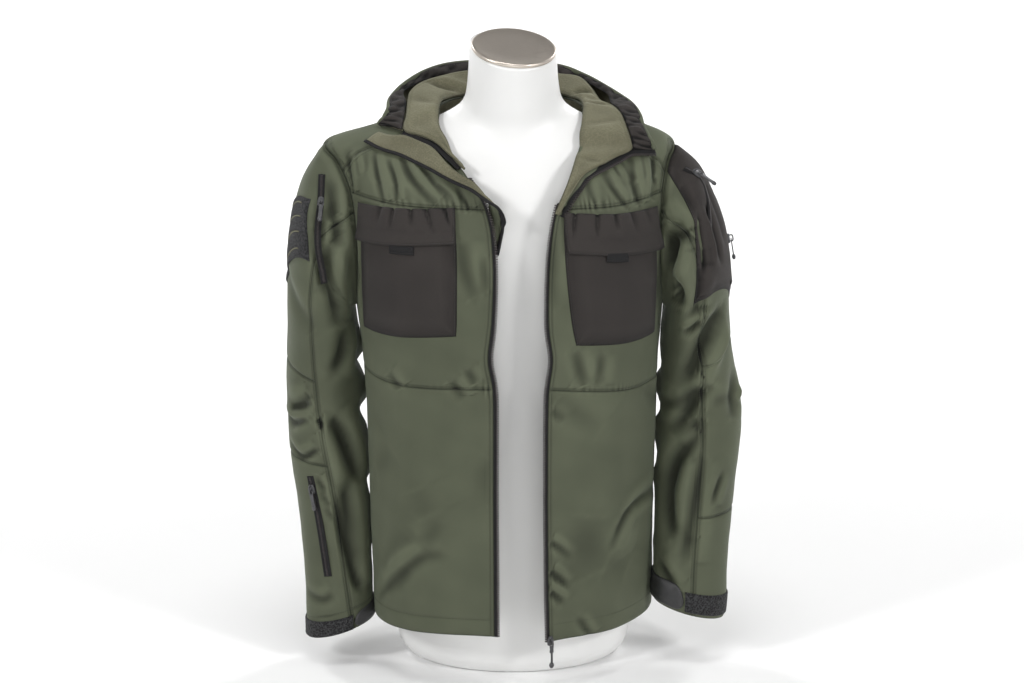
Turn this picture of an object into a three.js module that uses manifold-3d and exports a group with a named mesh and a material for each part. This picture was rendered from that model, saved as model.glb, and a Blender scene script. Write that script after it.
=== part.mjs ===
// Softshell jacket worn open on a limbless dress form, as a three.js scene of closed solids.
// Millimetres, +Z up, the front faces -Y. Left and right are the wearer's: the right side is at -X.
// The origin is the centre of the dress form's flat underside.
import * as THREE from 'three';
import Module from 'manifold-3d';

const solids = await Module();
solids.setup();
const { Manifold } = solids;

// Driving sizes
const CLOTH = 2; // softshell wall
const SEAM = 0.3; // gap between neighbouring pieces
const TRIM = 1.2; // webbing, tape and pocket cloth
const HEM_Z = 76;
const MID_SEAM_Z = 424;
const ARMPIT_Z = 505;
const LEFT_SIDE_DROP = 18; // the left middle seam sinks towards the side
const SHOULDER_Z = 716;
const NECKLINE_Z = 766;
const ARMHOLE_STEP = 15; // degrees between the armhole's points
const CHEST_SEAM_ANGLE = 60; // on the armhole, from its top
const SHOULDER_SEAM_ANGLE = 45;
const BACK_YOKE_ANGLE = 75;
const ARMHOLE_FRONT = 0.36; // how far the armhole cuts into the front and back, in torso turns
const ARMHOLE_BACK = 0.3;
const SHOULDER_ROWS = 5; // grid rows along the shoulder seam
const ZIP_SHARE = 0.045; // the zip's share of a front panel's width
const TURN = 8; // torso turns: 0 left front edge, 2 left side, 4 spine, 6 right side, 8 right front edge

// Materials
const look = (color, roughness, metalness = 0) =>
  new THREE.MeshStandardMaterial({ color, roughness, metalness });
const SOFTSHELL = look(0x5a6350, 0.75);
const FLEECE = look(0x7d7b62, 0.95);
const CORDURA = look(0x37332f, 0.85);
const ZIP_BLACK = look(0x232323, 0.6);
const LOOP_BLACK = look(0x2b2b2d, 0.95);
const RUBBER = look(0x353535, 0.5);
const FORM_WHITE = look(0xe8e8e6, 0.45);
const STEEL = look(0x9a9088, 0.35, 0.9);
const ZIP_METAL = look(0x6f7072, 0.45, 0.6);

// A table's rows as objects, with one name a column
const table = (columns, rows) =>
  rows.map((row) => Object.fromEntries(columns.split(' ').map((name, i) => [name, row[i]])));

// Sections of the jacket's body, one row a height: front edge, front's turn, side, back's turn
// and the spine
const LEVEL = 'z edgeX edgeY frontX frontY sideX sideY backX backY spineY';
const LEFT_LEVELS = table(LEVEL, [
  [76, 45, -155, 140, -104, 190, -8, 130, 98, 130],
  [250, 42, -155, 144, -114, 191, -10, 134, 96, 124],
  [424, 42, -151, 150, -122, 194, -12, 140, 96, 121],
  [505, 42, -150, 150, -125, 199, -14, 146, 97, 124],
  [600, 45, -147, 148, -121, 205, -12, 156, 94, 129],
  [663, 54, -132, 142, -106, 208, -4, 162, 86, 126],
  [700, 71, -107, 138, -77, 211, 6, 164, 74, 118],
  [716, 79, -90, 134, -60, 211, 9, 160, 66, 112],
  [740, 90, -42, 122, -30, 168, 10, 128, 50, 98],
  [766, 94, 4, 93, 12, 90, 26, 68, 62, 84],
]);
const RIGHT_LEVELS = table(LEVEL, [
  [76, 20, -155, 148, -128, 189, -28, 132, 96, 130],
  [250, 21, -155, 149, -130, 193, -24, 135, 95, 124],
  [424, 21, -152, 151, -129, 199, -20, 140, 95, 121],
  [505, 23, -151, 153, -130, 208, -20, 146, 96, 124],
  [600, 22, -146, 155, -124, 216, -16, 158, 94, 129],
  [663, 32, -132, 152, -106, 226, -6, 168, 86, 126],
  [700, 58, -98, 148, -77, 242, 6, 176, 74, 118],
  [716, 74, -80, 144, -60, 248, 9, 176, 66, 112],
  [740, 94, -42, 128, -30, 176, 10, 132, 50, 98],
  [766, 99, 4, 98, 12, 94, 26, 69, 62, 84],
]);

// Sections of each sleeve below the armhole: its outer point, its inner point beside the body, and its depth
const LEFT_SLEEVE = [
  { outerX: 240, outerZ: 688, innerX: 204, innerZ: 496, middleY: -3, depth: 80 },
  { outerX: 259, outerZ: 652, innerX: 203, innerZ: 484, middleY: -3, depth: 84 },
  { outerX: 276, outerZ: 604, innerX: 201, innerZ: 466, middleY: -3, depth: 84 },
  { outerX: 286, outerZ: 535, innerX: 199, innerZ: 438, middleY: 0, depth: 80 },
  { outerX: 293, outerZ: 450, innerX: 197, innerZ: 400, middleY: 4, depth: 74 },
  { outerX: 305, outerZ: 375, innerX: 196, innerZ: 352, middleY: 4, depth: 68 },
  { outerX: 309, outerZ: 318, innerX: 195, innerZ: 300, middleY: -2, depth: 64 },
  { outerX: 301, outerZ: 232, innerX: 194, innerZ: 228, middleY: -14, depth: 57 },
  { outerX: 293, outerZ: 150, innerX: 193.5, innerZ: 160, middleY: -28, depth: 48 },
  { outerX: 291, outerZ: 92, innerX: 193, innerZ: 112, middleY: -36, depth: 42 },
  { outerX: 289, outerZ: 62, innerX: 193, innerZ: 88, middleY: -38, depth: 40 },
];
const RIGHT_SLEEVE = [
  { outerX: 273, outerZ: 682, innerX: 213, innerZ: 496, middleY: -3, depth: 82 },
  { outerX: 287, outerZ: 648, innerX: 212, innerZ: 484, middleY: -3, depth: 86 },
  { outerX: 297, outerZ: 600, innerX: 210, innerZ: 466, middleY: -3, depth: 86 },
  { outerX: 302, outerZ: 530, innerX: 206, innerZ: 438, middleY: 0, depth: 80 },
  { outerX: 303, outerZ: 450, innerX: 202, innerZ: 400, middleY: 3, depth: 74 },
  { outerX: 306, outerZ: 372, innerX: 200, innerZ: 350, middleY: 2, depth: 68 },
  { outerX: 302, outerZ: 300, innerX: 198, innerZ: 290, middleY: -6, depth: 62 },
  { outerX: 291, outerZ: 215, innerX: 195.5, innerZ: 215, middleY: -18, depth: 55 },
  { outerX: 284, outerZ: 130, innerX: 194, innerZ: 142, middleY: -32, depth: 46 },
  { outerX: 282, outerZ: 64, innerX: 193, innerZ: 88, middleY: -40, depth: 40 },
  { outerX: 281, outerZ: 34, innerX: 193, innerZ: 62, middleY: -42, depth: 38 },
];

const clamp = THREE.MathUtils.clamp;
const mix = THREE.MathUtils.lerp;
const radians = THREE.MathUtils.degToRad;
const steps = (from, to, count) => Array.from({ length: count + 1 }, (_, i) => mix(from, to, i / count));

// Cubic through a column of a table, by its key column, going on straight past both ends
function tableValue(rows, key, column, at) {
  const last = rows.length - 1;
  let i = 0;
  while (i < last - 1 && rows[i + 1][key] < at) i++;
  const slope = (k) => {
    const a = rows[Math.max(k - 1, 0)];
    const b = rows[Math.min(k + 1, last)];
    return (b[column] - a[column]) / (b[key] - a[key]);
  };
  const [a, b] = [rows[i], rows[i + 1]];
  if (at < a[key]) return a[column] + slope(i) * (at - a[key]);
  if (at > b[key]) return b[column] + slope(i + 1) * (at - b[key]);
  const step = b[key] - a[key];
  const t = (at - a[key]) / step;
  return hermite(a[column], b[column], slope(i) * step, slope(i + 1) * step, t);
}

function hermite(a, b, slopeA, slopeB, t) {
  const t2 = t * t;
  const t3 = t2 * t;
  return (2 * t3 - 3 * t2 + 1) * a + (t3 - 2 * t2 + t) * slopeA + (3 * t2 - 2 * t3) * b + (t3 - t2) * slopeB;
}

// Smooth curve through a list of points, at a fractional index
function curveAt(points, at) {
  const last = points.length - 1;
  const i = clamp(Math.floor(at), 0, last - 1);
  const point = (k) => {
    if (k < 0) return points[0].clone().multiplyScalar(2).sub(points[1]);
    if (k > last) return points[last].clone().multiplyScalar(2).sub(points[last - 1]);
    return points[k];
  };
  const [p, a, b, n] = [point(i - 1), point(i), point(i + 1), point(i + 2)];
  const value = (axis) => hermite(a[axis], b[axis], (b[axis] - p[axis]) / 2, (n[axis] - a[axis]) / 2, at - i);
  return new THREE.Vector3(value('x'), value('y'), value('z'));
}

// A closed wall between two lifts of a surface, over a grid of its parameters. Its open edges stand back by
// half a seam.
function wallGeometry({ us, vs, place, outer, inner }) {
  const lifted = (height) => {
    const value = (u, v) => (typeof height === 'function' ? height(u, v) : height);
    return standBack(us.map((u) => vs.map((v) => place(u, v, value(u, v)))));
  };
  const points = [lifted(outer), lifted(inner)].flat(2);
  const [columns, rows] = [us.length, vs.length];
  const index = (sheet, i, j) => (sheet * columns + i) * rows + j;
  const faces = [];
  const quad = (a, b, c, d) => faces.push(a, b, c, a, c, d);
  // An edge face bends along the diagonal that lies nearer the middle of the piece, so that neighbours
  // never cross
  const edge = (corners, next) => {
    const mean = (list) =>
      list.reduce((sum, k) => sum.add(points[k]), new THREE.Vector3()).divideScalar(list.length);
    const [a, b, c, d] = corners;
    const across = points[c].clone().sub(points[a]).cross(points[d].clone().sub(points[b]));
    const inward = across.multiplyScalar(Math.sign(across.dot(mean(next).sub(mean(corners)))));
    if (mean([a, c]).dot(inward) >= mean([b, d]).dot(inward)) quad(a, b, c, d);
    else quad(b, c, d, a);
  };
  const ends = (i, j, stepI, stepJ) => [
    index(0, i, j),
    index(0, i + stepI, j + stepJ),
    index(1, i + stepI, j + stepJ),
    index(1, i, j),
  ];
  const [right, top] = [columns - 1, rows - 1];
  for (let i = 0; i < right; i++) {
    for (let j = 0; j < top; j++) {
      quad(index(0, i, j), index(0, i + 1, j), index(0, i + 1, j + 1), index(0, i, j + 1));
      quad(index(1, i, j), index(1, i, j + 1), index(1, i + 1, j + 1), index(1, i + 1, j));
    }
    edge(ends(i, 0, 1, 0).reverse(), ends(i, 1, 1, 0));
    edge(ends(i, top, 1, 0), ends(i, top - 1, 1, 0));
  }
  for (let j = 0; j < top; j++) {
    edge(ends(0, j, 0, 1), ends(1, j, 0, 1));
    edge(ends(right, j, 0, 1).reverse(), ends(right - 1, j, 0, 1));
  }
  return closedGeometry(points.flatMap((p) => [p.x, p.y, p.z]), faces);
}

function standBack(grid) {
  const [lastI, lastJ] = [grid.length - 1, grid[0].length - 1];
  const moved = grid.map((line) => line.map((p) => p.clone()));
  const pull = (i, j, toI, toJ) => {
    const way = grid[toI][toJ].clone().sub(grid[i][j]);
    if (way.length() > SEAM) moved[i][j].addScaledVector(way.normalize(), SEAM / 2);
  };
  for (let j = 0; j <= lastJ; j++) {
    pull(0, j, 1, j);
    pull(lastI, j, lastI - 1, j);
  }
  for (let i = 0; i <= lastI; i++) {
    pull(i, 0, i, 1);
    pull(i, lastJ, i, lastJ - 1);
  }
  return moved;
}

// Faces turned to point out, whichever way the grid ran
function closedGeometry(positions, faces) {
  let volume = 0;
  const corner = (k) => new THREE.Vector3().fromArray(positions, 3 * k);
  for (let i = 0; i < faces.length; i += 3) {
    volume += corner(faces[i]).dot(corner(faces[i + 1]).cross(corner(faces[i + 2])));
  }
  if (volume < 0) faces.reverse();
  const geometry = new THREE.BufferGeometry();
  geometry.setAttribute('position', new THREE.Float32BufferAttribute(positions, 3));
  geometry.setIndex(faces);
  geometry.computeVertexNormals();
  return geometry;
}

const jacket = new THREE.Group();

function addPiece(name, geometry, material) {
  const mesh = new THREE.Mesh(geometry, material);
  mesh.name = name;
  jacket.add(mesh);
}

const addWall = (name, material, wall) => addPiece(name, wallGeometry(wall), material);

// A surface's point, moved out along its normal by a height
function raise(surface, a, b, height) {
  const small = 1e-3;
  const alongA = surface(a + small, b).sub(surface(a - small, b));
  const alongB = surface(a, b + small).sub(surface(a, b - small));
  return surface(a, b).addScaledVector(alongA.cross(alongB).normalize(), height);
}

// The jacket's body: a turn round it and a height give a point of the cloth's outer face
function torso(turn, z) {
  const left = turn <= TURN / 2;
  const rows = left ? LEFT_LEVELS : RIGHT_LEVELS;
  const way = left ? 1 : -1;
  const from = left ? turn : TURN - turn;
  const value = (column) => tableValue(rows, 'z', column, z);
  const backX = value('backX');
  const points = [
    new THREE.Vector3(value('edgeX'), value('edgeY'), 0),
    new THREE.Vector3(value('frontX'), value('frontY'), 0),
    new THREE.Vector3(value('sideX'), value('sideY'), 0),
    new THREE.Vector3(backX, value('backY'), 0),
    new THREE.Vector3(0, value('spineY'), 0),
    new THREE.Vector3(-backX, value('backY'), 0),
  ];
  const flat = from < 0 ? points[0].clone().lerp(curveAt(points, 0.01), from * 100) : curveAt(points, from);
  return new THREE.Vector3(way * flat.x, flat.y, z);
}
// Height of a level line at a turn: the hem and the left middle seam run a little uneven
function levelHeight(turn, level) {
  const left = turn < TURN / 2;
  const from = left ? turn : TURN - turn;
  const nearSide = clamp(1 - Math.abs(from - 2), 0, 1);
  const nearHem = clamp((MID_SEAM_Z - level) / (MID_SEAM_Z - HEM_Z), 0, 1);
  const nearMiddle = clamp(1 - Math.abs(level - MID_SEAM_Z) / (ARMPIT_Z - MID_SEAM_Z), 0, 1);
  const sideDrop = LEFT_SIDE_DROP * clamp(from / 2, 0, 1) * clamp(3 - from, 0, 1);
  return left ? level - 8 * nearHem - sideDrop * nearMiddle : level - 7 * nearSide * nearHem;
}
const levelTorso = (turn, level) => torso(turn, levelHeight(turn, level));
const onTorso = (turn, level, height) => raise(levelTorso, turn, level, height);

// The armhole, by the angle from its top: positive round the front, negative round the back
const armholeHeight = (angle) => mix(ARMPIT_Z, SHOULDER_Z, (1 + Math.cos(radians(angle))) / 2);
function armholeTurn(side, angle) {
  const reach = angle >= 0 ? ARMHOLE_FRONT : ARMHOLE_BACK;
  const from = 2 - reach * Math.sin(radians(angle));
  return side > 0 ? from : TURN - from;
}
const armholeLevels = (from, to) => {
  const count = Math.round(Math.abs(from - to) / ARMHOLE_STEP);
  return steps(from, to, count).map((angle) => ({ z: armholeHeight(angle), angle }));
};
const CHEST_SEAM_Z = armholeHeight(CHEST_SEAM_ANGLE);
const SHOULDER_SEAM_Z = armholeHeight(SHOULDER_SEAM_ANGLE);
const BACK_YOKE_Z = armholeHeight(BACK_YOKE_ANGLE);

// The sleeves: station 0 is the armhole, and each row of the table is one station further down
function sleeveRings(side, angle) {
  const rows = side > 0 ? LEFT_SLEEVE : RIGHT_SLEEVE;
  const rings = rows.map((row) => {
    const [c, s] = [Math.cos(radians(angle)), Math.sin(radians(angle))];
    const x = mix(row.innerX, row.outerX, (1 + c) / 2);
    const z = mix(row.innerZ, row.outerZ, (1 + c) / 2);
    return new THREE.Vector3(side * x, row.middleY - row.depth * s, z);
  });
  const signed = angle > 180 ? angle - 360 : angle;
  return [torso(armholeTurn(side, signed), armholeHeight(signed)), ...rings];
}
const sleeve = (side) => (angle, station) => curveAt(sleeveRings(side, angle), station);
const SLEEVE_END = LEFT_SLEEVE.length;
function onSleeve(side, angle, station, height) {
  if (station === 0) {
    const away = sleeve(side)(angle, 0.1).sub(sleeve(side)(angle, 0)).setLength(2 * SEAM);
    return onArmhole(side, angle > 180 ? angle - 360 : angle, height).add(away);
  }
  return raise(sleeve(side), angle, station, side * height);
}

// The seam of the armhole leans halfway between the body's cloth and the sleeve's
function onArmhole(side, angle, height) {
  const [turn, z] = [armholeTurn(side, angle), armholeHeight(angle)];
  const point = torso(turn, z);
  const outward = raise(torso, turn, z, 1).sub(point);
  const sleeveWay = raise(sleeve(side), angle, 0.01, side).sub(sleeve(side)(angle, 0.01));
  const lean = outward.clone().add(sleeveWay).normalize();
  return point.addScaledVector(lean, height);
}

// A front panel: from the zip edge to the side seam or armhole, between two levels
function frontPanel(side, levels) {
  const edge = side > 0 ? 0 : TURN;
  const place = (share, row, height) => {
    const { z, angle, end } = levels[row];
    const outerTurn = end ?? (angle === undefined ? mix(edge, TURN - edge, 0.25) : armholeTurn(side, angle));
    if (share === 1 && angle !== undefined) return onArmhole(side, angle, height);
    return onTorso(mix(edge, outerTurn, share), z, height);
  };
  return { us: steps(ZIP_SHARE, 1, 10), vs: levels.map((_, row) => row), place, outer: 0, inner: -CLOTH };
}

const plainLevels = (from, to, count) => steps(from, to, count).map((z) => ({ z }));
const shoulderSeamTurn = (z) => {
  const share = (z - SHOULDER_SEAM_Z) / (NECKLINE_Z - SHOULDER_SEAM_Z);
  return mix(2 - ARMHOLE_FRONT * Math.sin(radians(SHOULDER_SEAM_ANGLE)), 0.9, share);
};

const ZIPPED_YOKE_ROWS = { left: 1, right: 3 }; // the zip leaves the front edge for the lapel above these
function addFronts(side, name) {
  const skirt = plainLevels(HEM_Z, MID_SEAM_Z, 7);
  const belowArm = plainLevels(MID_SEAM_Z, ARMPIT_Z, 2).slice(0, -1);
  const chest = [...belowArm, ...armholeLevels(180, CHEST_SEAM_ANGLE)];
  const seamEnd = (z) => (side > 0 ? shoulderSeamTurn(z) : TURN - shoulderSeamTurn(z));
  const shoulder = steps(SHOULDER_SEAM_Z, NECKLINE_Z, SHOULDER_ROWS)
    .slice(1)
    .map((z) => ({ z, end: seamEnd(z) }));
  const yoke = [...armholeLevels(CHEST_SEAM_ANGLE, SHOULDER_SEAM_ANGLE), ...shoulder];
  addWall(`${name}_front_skirt`, SOFTSHELL, frontPanel(side, skirt));
  addWall(`${name}_front_chest`, SOFTSHELL, frontPanel(side, chest));
  addWall(`${name}_front_yoke`, SOFTSHELL, frontPanel(side, yoke));
  const zipped = [...skirt, ...chest.slice(1), ...yoke.slice(1, ZIPPED_YOKE_ROWS[name])];
  addWall(`${name}_zip_tape`, ZIP_BLACK, { ...frontPanel(side, zipped), us: [0, ZIP_SHARE] });
}

addFronts(1, 'left');
addFronts(-1, 'right');

// The back panel, from side seam to side seam below the back yoke
function addBack() {
  const levels = [...plainLevels(HEM_Z, ARMPIT_Z, 8).slice(0, -1), ...armholeLevels(-180, -BACK_YOKE_ANGLE)];
  const place = (share, row, height) => {
    const { z, angle } = levels[row];
    const from = angle === undefined ? 2 : armholeTurn(1, angle);
    const to = angle === undefined ? 6 : armholeTurn(-1, angle);
    if (share === 0 && angle !== undefined) return onArmhole(1, angle, height);
    if (share === 1 && angle !== undefined) return onArmhole(-1, angle, height);
    return onTorso(mix(from, to, share), z, height);
  };
  addWall('back_panel', SOFTSHELL, {
    us: steps(0, 1, 14),
    vs: levels.map((_, row) => row),
    place,
    outer: 0,
    inner: -CLOTH,
  });
}
addBack();

// The back yoke, which wraps forward over both shoulders: from the armholes and the back seam up to the
// neckline
function addBackYoke() {
  const columns = (SHOULDER_SEAM_ANGLE + BACK_YOKE_ANGLE) / ARMHOLE_STEP;
  const armhole = steps(SHOULDER_SEAM_ANGLE, -BACK_YOKE_ANGLE, columns);
  const onShoulder = (angle) => ({ angle, side: 1, turn: armholeTurn(1, angle), z: armholeHeight(angle) });
  const shoulder = armhole.map(onShoulder);
  const seam = steps(shoulder.at(-1).turn, TURN / 2, 5).slice(1).map((turn) => ({ turn, z: BACK_YOKE_Z }));
  const leftHalf = [...shoulder, ...seam];
  const mirrored = (point) => ({ ...point, side: -1, turn: TURN - point.turn });
  const rightHalf = leftHalf.slice(0, -1).reverse().map(mirrored);
  const low = [...leftHalf, ...rightHalf];
  const last = low.length - 1;
  const neckStart = shoulderSeamTurn(NECKLINE_Z);
  const place = (column, share, height) => {
    const neckTurn = mix(neckStart, TURN - neckStart, column / last);
    const { turn, z, angle, side } = low[column];
    if (share === 0 && angle !== undefined) return onArmhole(side, angle, height);
    return onTorso(mix(turn, neckTurn, share), mix(z, NECKLINE_Z, share), height);
  };
  const grid = { us: low.map((_, i) => i), vs: steps(0, 1, SHOULDER_ROWS) };
  addWall('back_yoke', SOFTSHELL, { ...grid, place, outer: 0, inner: -CLOTH });
}
addBackYoke();

// Sleeve pieces by angle and station: the outer sleeve in three, the under sleeve in one
const BACK_SEAM = -75;
const SLEEVES = {
  left: { side: 1, elbowTop: 5, elbowLow: 8.2, seamFrom: 4, seamTo: 6, seamTurn: 12 },
  right: { side: -1, elbowTop: 5.35, elbowLow: 7.1, seamFrom: 5, seamTo: 11, seamTurn: 44 },
};
function addSleeve(name) {
  const { side, elbowTop, elbowLow, seamFrom, seamTo, seamTurn } = SLEEVES[name];
  const frontSeam = (station) => 75 + seamTurn * clamp((station - seamFrom) / (seamTo - seamFrom), 0, 1);
  const outerPlace = (share, station, height) =>
    onSleeve(side, mix(BACK_SEAM, frontSeam(station), share), station, height);
  const underPlace = (share, station, height) =>
    onSleeve(side, mix(frontSeam(station), 360 + BACK_SEAM, share), station, height);
  const outerShares = steps(0, 1, 10);
  const upper = steps(0, elbowTop, 7);
  const elbow = steps(elbowTop, elbowLow, 3);
  const forearm = steps(elbowLow, SLEEVE_END, 4);
  const piece = (us, vs, place) => ({ us, vs, place, outer: 0, inner: -CLOTH });
  addWall(`${name}_upper_sleeve`, SOFTSHELL, piece(outerShares, upper, outerPlace));
  addWall(`${name}_elbow_panel`, SOFTSHELL, piece(outerShares, elbow, outerPlace));
  addWall(`${name}_forearm`, SOFTSHELL, piece(outerShares, forearm, outerPlace));
  const under = [...upper, ...elbow.slice(1), ...forearm.slice(1)];
  addWall(`${name}_under_sleeve`, SOFTSHELL, piece(steps(0, 1, 14), under, underPlace));
}
addSleeve('left');
addSleeve('right');

// Strips: a line of stations, each a row of a table with two or three points, and a wall across between two
// of them
const pointOf = (row, key) => new THREE.Vector3(...row[key]);
function strip(rows, from, to) {
  const starts = rows.map((row) => pointOf(row, from));
  const ends = rows.map((row) => pointOf(row, to));
  return (station, share) => curveAt(starts, station).lerp(curveAt(ends, station), share);
}
const onStrip = (surface, way) => (station, share, height) => raise(surface, station, share, way * height);

// The collar with its lapels, from the right front round the back of the neck to the left: the roll line,
// the outer edge, and the brim of the hood that lies behind it
const COLLAR = [
  { roll: [-62, -98, 711], edge: [-67, -94, 712] },
  { roll: [-77, -77, 722], edge: [-82, -80, 722] },
  { roll: [-86, -58, 738], edge: [-101, -61, 734] },
  { roll: [-95, -38, 749], edge: [-121, -49, 741] },
  { roll: [-98, -22, 757], edge: [-143, -34, 745], brim: [-179, -4, 745], pouch: 0 },
  { roll: [-98, -8, 764], edge: [-141, -8, 758], brim: [-171, -6, 754], pouch: 0 },
  { roll: [-97, 8, 770], edge: [-140, 22, 769], brim: [-165, 8, 764], pouch: 0 },
  { roll: [-93, 30, 772], edge: [-137, 52, 776], brim: [-163, 45, 770], pouch: 0.15 },
  { roll: [-82, 52, 770], edge: [-123, 78, 782], brim: [-145, 87, 779], pouch: 0.42 },
  { roll: [-62, 70, 770], edge: [-98, 97, 786], brim: [-113, 130, 788], pouch: 0.72 },
  { roll: [-34, 82, 770], edge: [-62, 108, 791], brim: [-72, 150, 793], pouch: 0.93 },
  { roll: [0, 87, 770], edge: [0, 113, 792], brim: [0, 155, 793], pouch: 1 },
  { roll: [34, 82, 770], edge: [61, 108, 787], brim: [60, 150, 789], pouch: 0.93 },
  { roll: [62, 70, 770], edge: [90, 96, 785], brim: [95, 130, 781], pouch: 0.72 },
  { roll: [80, 52, 770], edge: [107, 66, 775], brim: [122, 98, 774], pouch: 0.45 },
  { roll: [90, 30, 772], edge: [117, 34, 767], brim: [147, 62, 767], pouch: 0.2 },
  { roll: [93, 8, 770], edge: [131, 15, 766], brim: [160, 35, 763], pouch: 0 },
  { roll: [92, -9, 764], edge: [142, -4, 760], brim: [168, 8, 756], pouch: 0 },
  { roll: [90, -32, 754], edge: [148, -22, 749], brim: [171, -16, 748], pouch: 0 },
  { roll: [87, -52, 744], edge: [153, -38, 737], brim: [179, -38, 735], pouch: 0 },
  { roll: [87, -67, 731], edge: [155, -52, 723], brim: [187, -42, 721], pouch: 0 },
  { roll: [82, -84, 723], edge: [134, -70, 717] },
  { roll: [78, -99, 714], edge: [114, -87, 711] },
  { roll: [74, -111, 704], edge: [94, -101, 703] },
  { roll: [69, -121, 692], edge: [80, -116, 688] },
  { roll: [62, -130, 677], edge: [69, -127, 674] },
  { roll: [54, -137, 660], edge: [60, -136, 657] },
];
const NECK_FROM = COLLAR.findIndex((row) => row.brim);
const NECK_TO = COLLAR.findLastIndex((row) => row.brim);
const NECK = COLLAR.slice(NECK_FROM, NECK_TO + 1);
const rowsOf = (list) => list.map((_, i) => i);

const collarStrip = strip(COLLAR, 'roll', 'edge');
addWall('collar', FLEECE, {
  us: rowsOf(COLLAR),
  vs: steps(0, 1, 4),
  place: onStrip(collarStrip, 1),
  outer: 0,
  inner: -CLOTH,
});

// The hood's black facing runs inside the brim, and meets the collar at both front corners
const FACING_REACH = 0.4; // how far it comes from the brim towards the collar at the back
const FACING_START = 0.07; // its gap to the collar at the front corners
const FACING_DIP = 12;
function facingSurface(station, share) {
  const open = tableValue(NECK.map((row, i) => ({ i, pouch: row.pouch })), 'i', 'pouch', station);
  const across = strip(NECK, 'edge', 'brim');
  const dip = FACING_DIP * open * (1 - share);
  const from = FACING_START + clamp(open * 3, 0, 1) * (1 - FACING_REACH);
  return across(station, mix(from, 1, share)).add(new THREE.Vector3(0, 0, -dip));
}
addWall('hood_facing', CORDURA, {
  us: rowsOf(NECK),
  vs: steps(0, 1, 3),
  place: onStrip(facingSurface, 1),
  outer: 0,
  inner: -CLOTH,
});

// Where the back of the torso lies, beside the spine at a height
function backDepth(x, z) {
  let [near, far] = x > 0 ? [2.2, 4] : [5.8, 4];
  for (let i = 0; i < 24; i++) {
    const middle = (near + far) / 2;
    if (Math.abs(torso(middle, z).x) > Math.abs(x)) near = middle;
    else far = middle;
  }
  return torso(near, z).y;
}

// The hood hangs down the back as a pouch: from the brim out and down, then up to its seam at the collar
const HOOD_DROP = [
  { share: 0, back: 0, drop: 0 },
  { share: 0.1, back: 16, drop: 6 },
  { share: 0.2, back: 30, drop: 34 },
  { share: 0.32, back: 39, drop: 80 },
  { share: 0.43, back: 38, drop: 122 },
  { share: 0.52, back: 26, drop: 152 },
  { share: 0.6, back: 16, drop: 158 },
  { share: 0.7, back: 16, drop: 120 },
  { share: 0.85, back: 14, drop: 55 },
  { share: 1, back: 4, drop: 0 },
];
const HOOD_OFF_BACK = 10;
const HOOD_UNDER = 5.2; // how far the hood's outside lies under the facing at the front corners
function hoodSurface(station, share) {
  const open = tableValue(NECK.map((row, i) => ({ i, pouch: row.pouch })), 'i', 'pouch', station);
  const across = strip(NECK, 'roll', 'edge');
  const behind = across(station, 1 - 0.85 * Math.sqrt(clamp(open, 0, 1)));
  behind.add(new THREE.Vector3(0, 5 * open, -HOOD_UNDER - 2 * open));
  const seam = raise(facingSurface, station, 0, -HOOD_UNDER).lerp(behind, clamp(open * 5, 0, 1));
  const point = raise(facingSurface, station, 1, -HOOD_UNDER).lerp(seam, share);
  point.y += open * tableValue(HOOD_DROP, 'share', 'back', share);
  point.z -= open * tableValue(HOOD_DROP, 'share', 'drop', share);
  if (open > 0 && point.z < NECKLINE_Z) {
    point.y = Math.max(point.y, backDepth(point.x, point.z) + HOOD_OFF_BACK);
  }
  return point;
}
addWall('hood', SOFTSHELL, {
  us: rowsOf(NECK),
  vs: HOOD_DROP.map((row) => row.share),
  place: onStrip(hoodSurface, 1),
  outer: 0,
  inner: -CLOTH,
});

// The storm flap of the right front, turned out over the yoke above its fold and behind the zip below it
const STORM_FLAP = [
  { seam: [-177, -13, 737], free: [-194, -27, 728] },
  { seam: [-161, -33, 738], free: [-174, -47, 723] },
  { seam: [-143, -42, 740], free: [-148, -64, 719] },
  { seam: [-123, -56, 736], free: [-127, -79, 713] },
  { seam: [-104, -68.6, 729.5], free: [-108, -92, 707] },
  { seam: [-86, -93.6, 716.4], free: [-90, -104, 700] },
  { seam: [-71, -107.6, 706.4], free: [-74, -113, 694] },
  { seam: [-50, -120, 697], free: [-53, -127, 688] },
  { seam: [-35, -136, 683], free: [-33, -143, 678] },
  { seam: [-25, -141, 669], free: [-19, -142, 668] },
  { seam: [-22, -139, 656], free: [-13, -136, 653] },
  { seam: [-24, -131, 642], free: [-13, -133, 640] },
  { seam: [-27, -136, 624], free: [-17, -135, 622] },
  { seam: [-28.6, -139.6, 606], free: [-21, -138.5, 604] },
];
addWall('storm_flap', SOFTSHELL, {
  us: rowsOf(STORM_FLAP),
  vs: steps(0, 1, 3),
  place: onStrip(strip(STORM_FLAP, 'seam', 'free'), -1),
  outer: 0,
  inner: -CLOTH,
});

// The zip runs on from the front edges along the lapels, beyond the collar's edge
const ZIP_WIDTH = 7;
function lapelZip(name, line, way) {
  const place = (station, share, height) => {
    const along = curveAt(line, station + 0.01).sub(curveAt(line, station - 0.01)).normalize();
    const nearest = clamp(station, 0, line.length - 1);
    const up = new THREE.Vector3(0, -0.5, 0.86);
    const across = along.clone().cross(up).multiplyScalar(way).normalize();
    const out = across.clone().cross(along).multiplyScalar(-way).normalize();
    const point = curveAt(line, nearest).addScaledVector(across, SEAM + share * ZIP_WIDTH);
    return point.addScaledVector(out, height);
  };
  addWall(`${name}_lapel_zip`, ZIP_BLACK, { us: rowsOf(line), vs: [0, 1], place, outer: 0, inner: -TRIM });
}
const edges = COLLAR.map((row) => pointOf(row, 'edge'));
lapelZip('right', edges.slice(0, NECK_FROM + 1), -1);
lapelZip('left', [pointOf(COLLAR[NECK_TO], 'brim'), ...edges.slice(NECK_TO)], -1);

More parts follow.
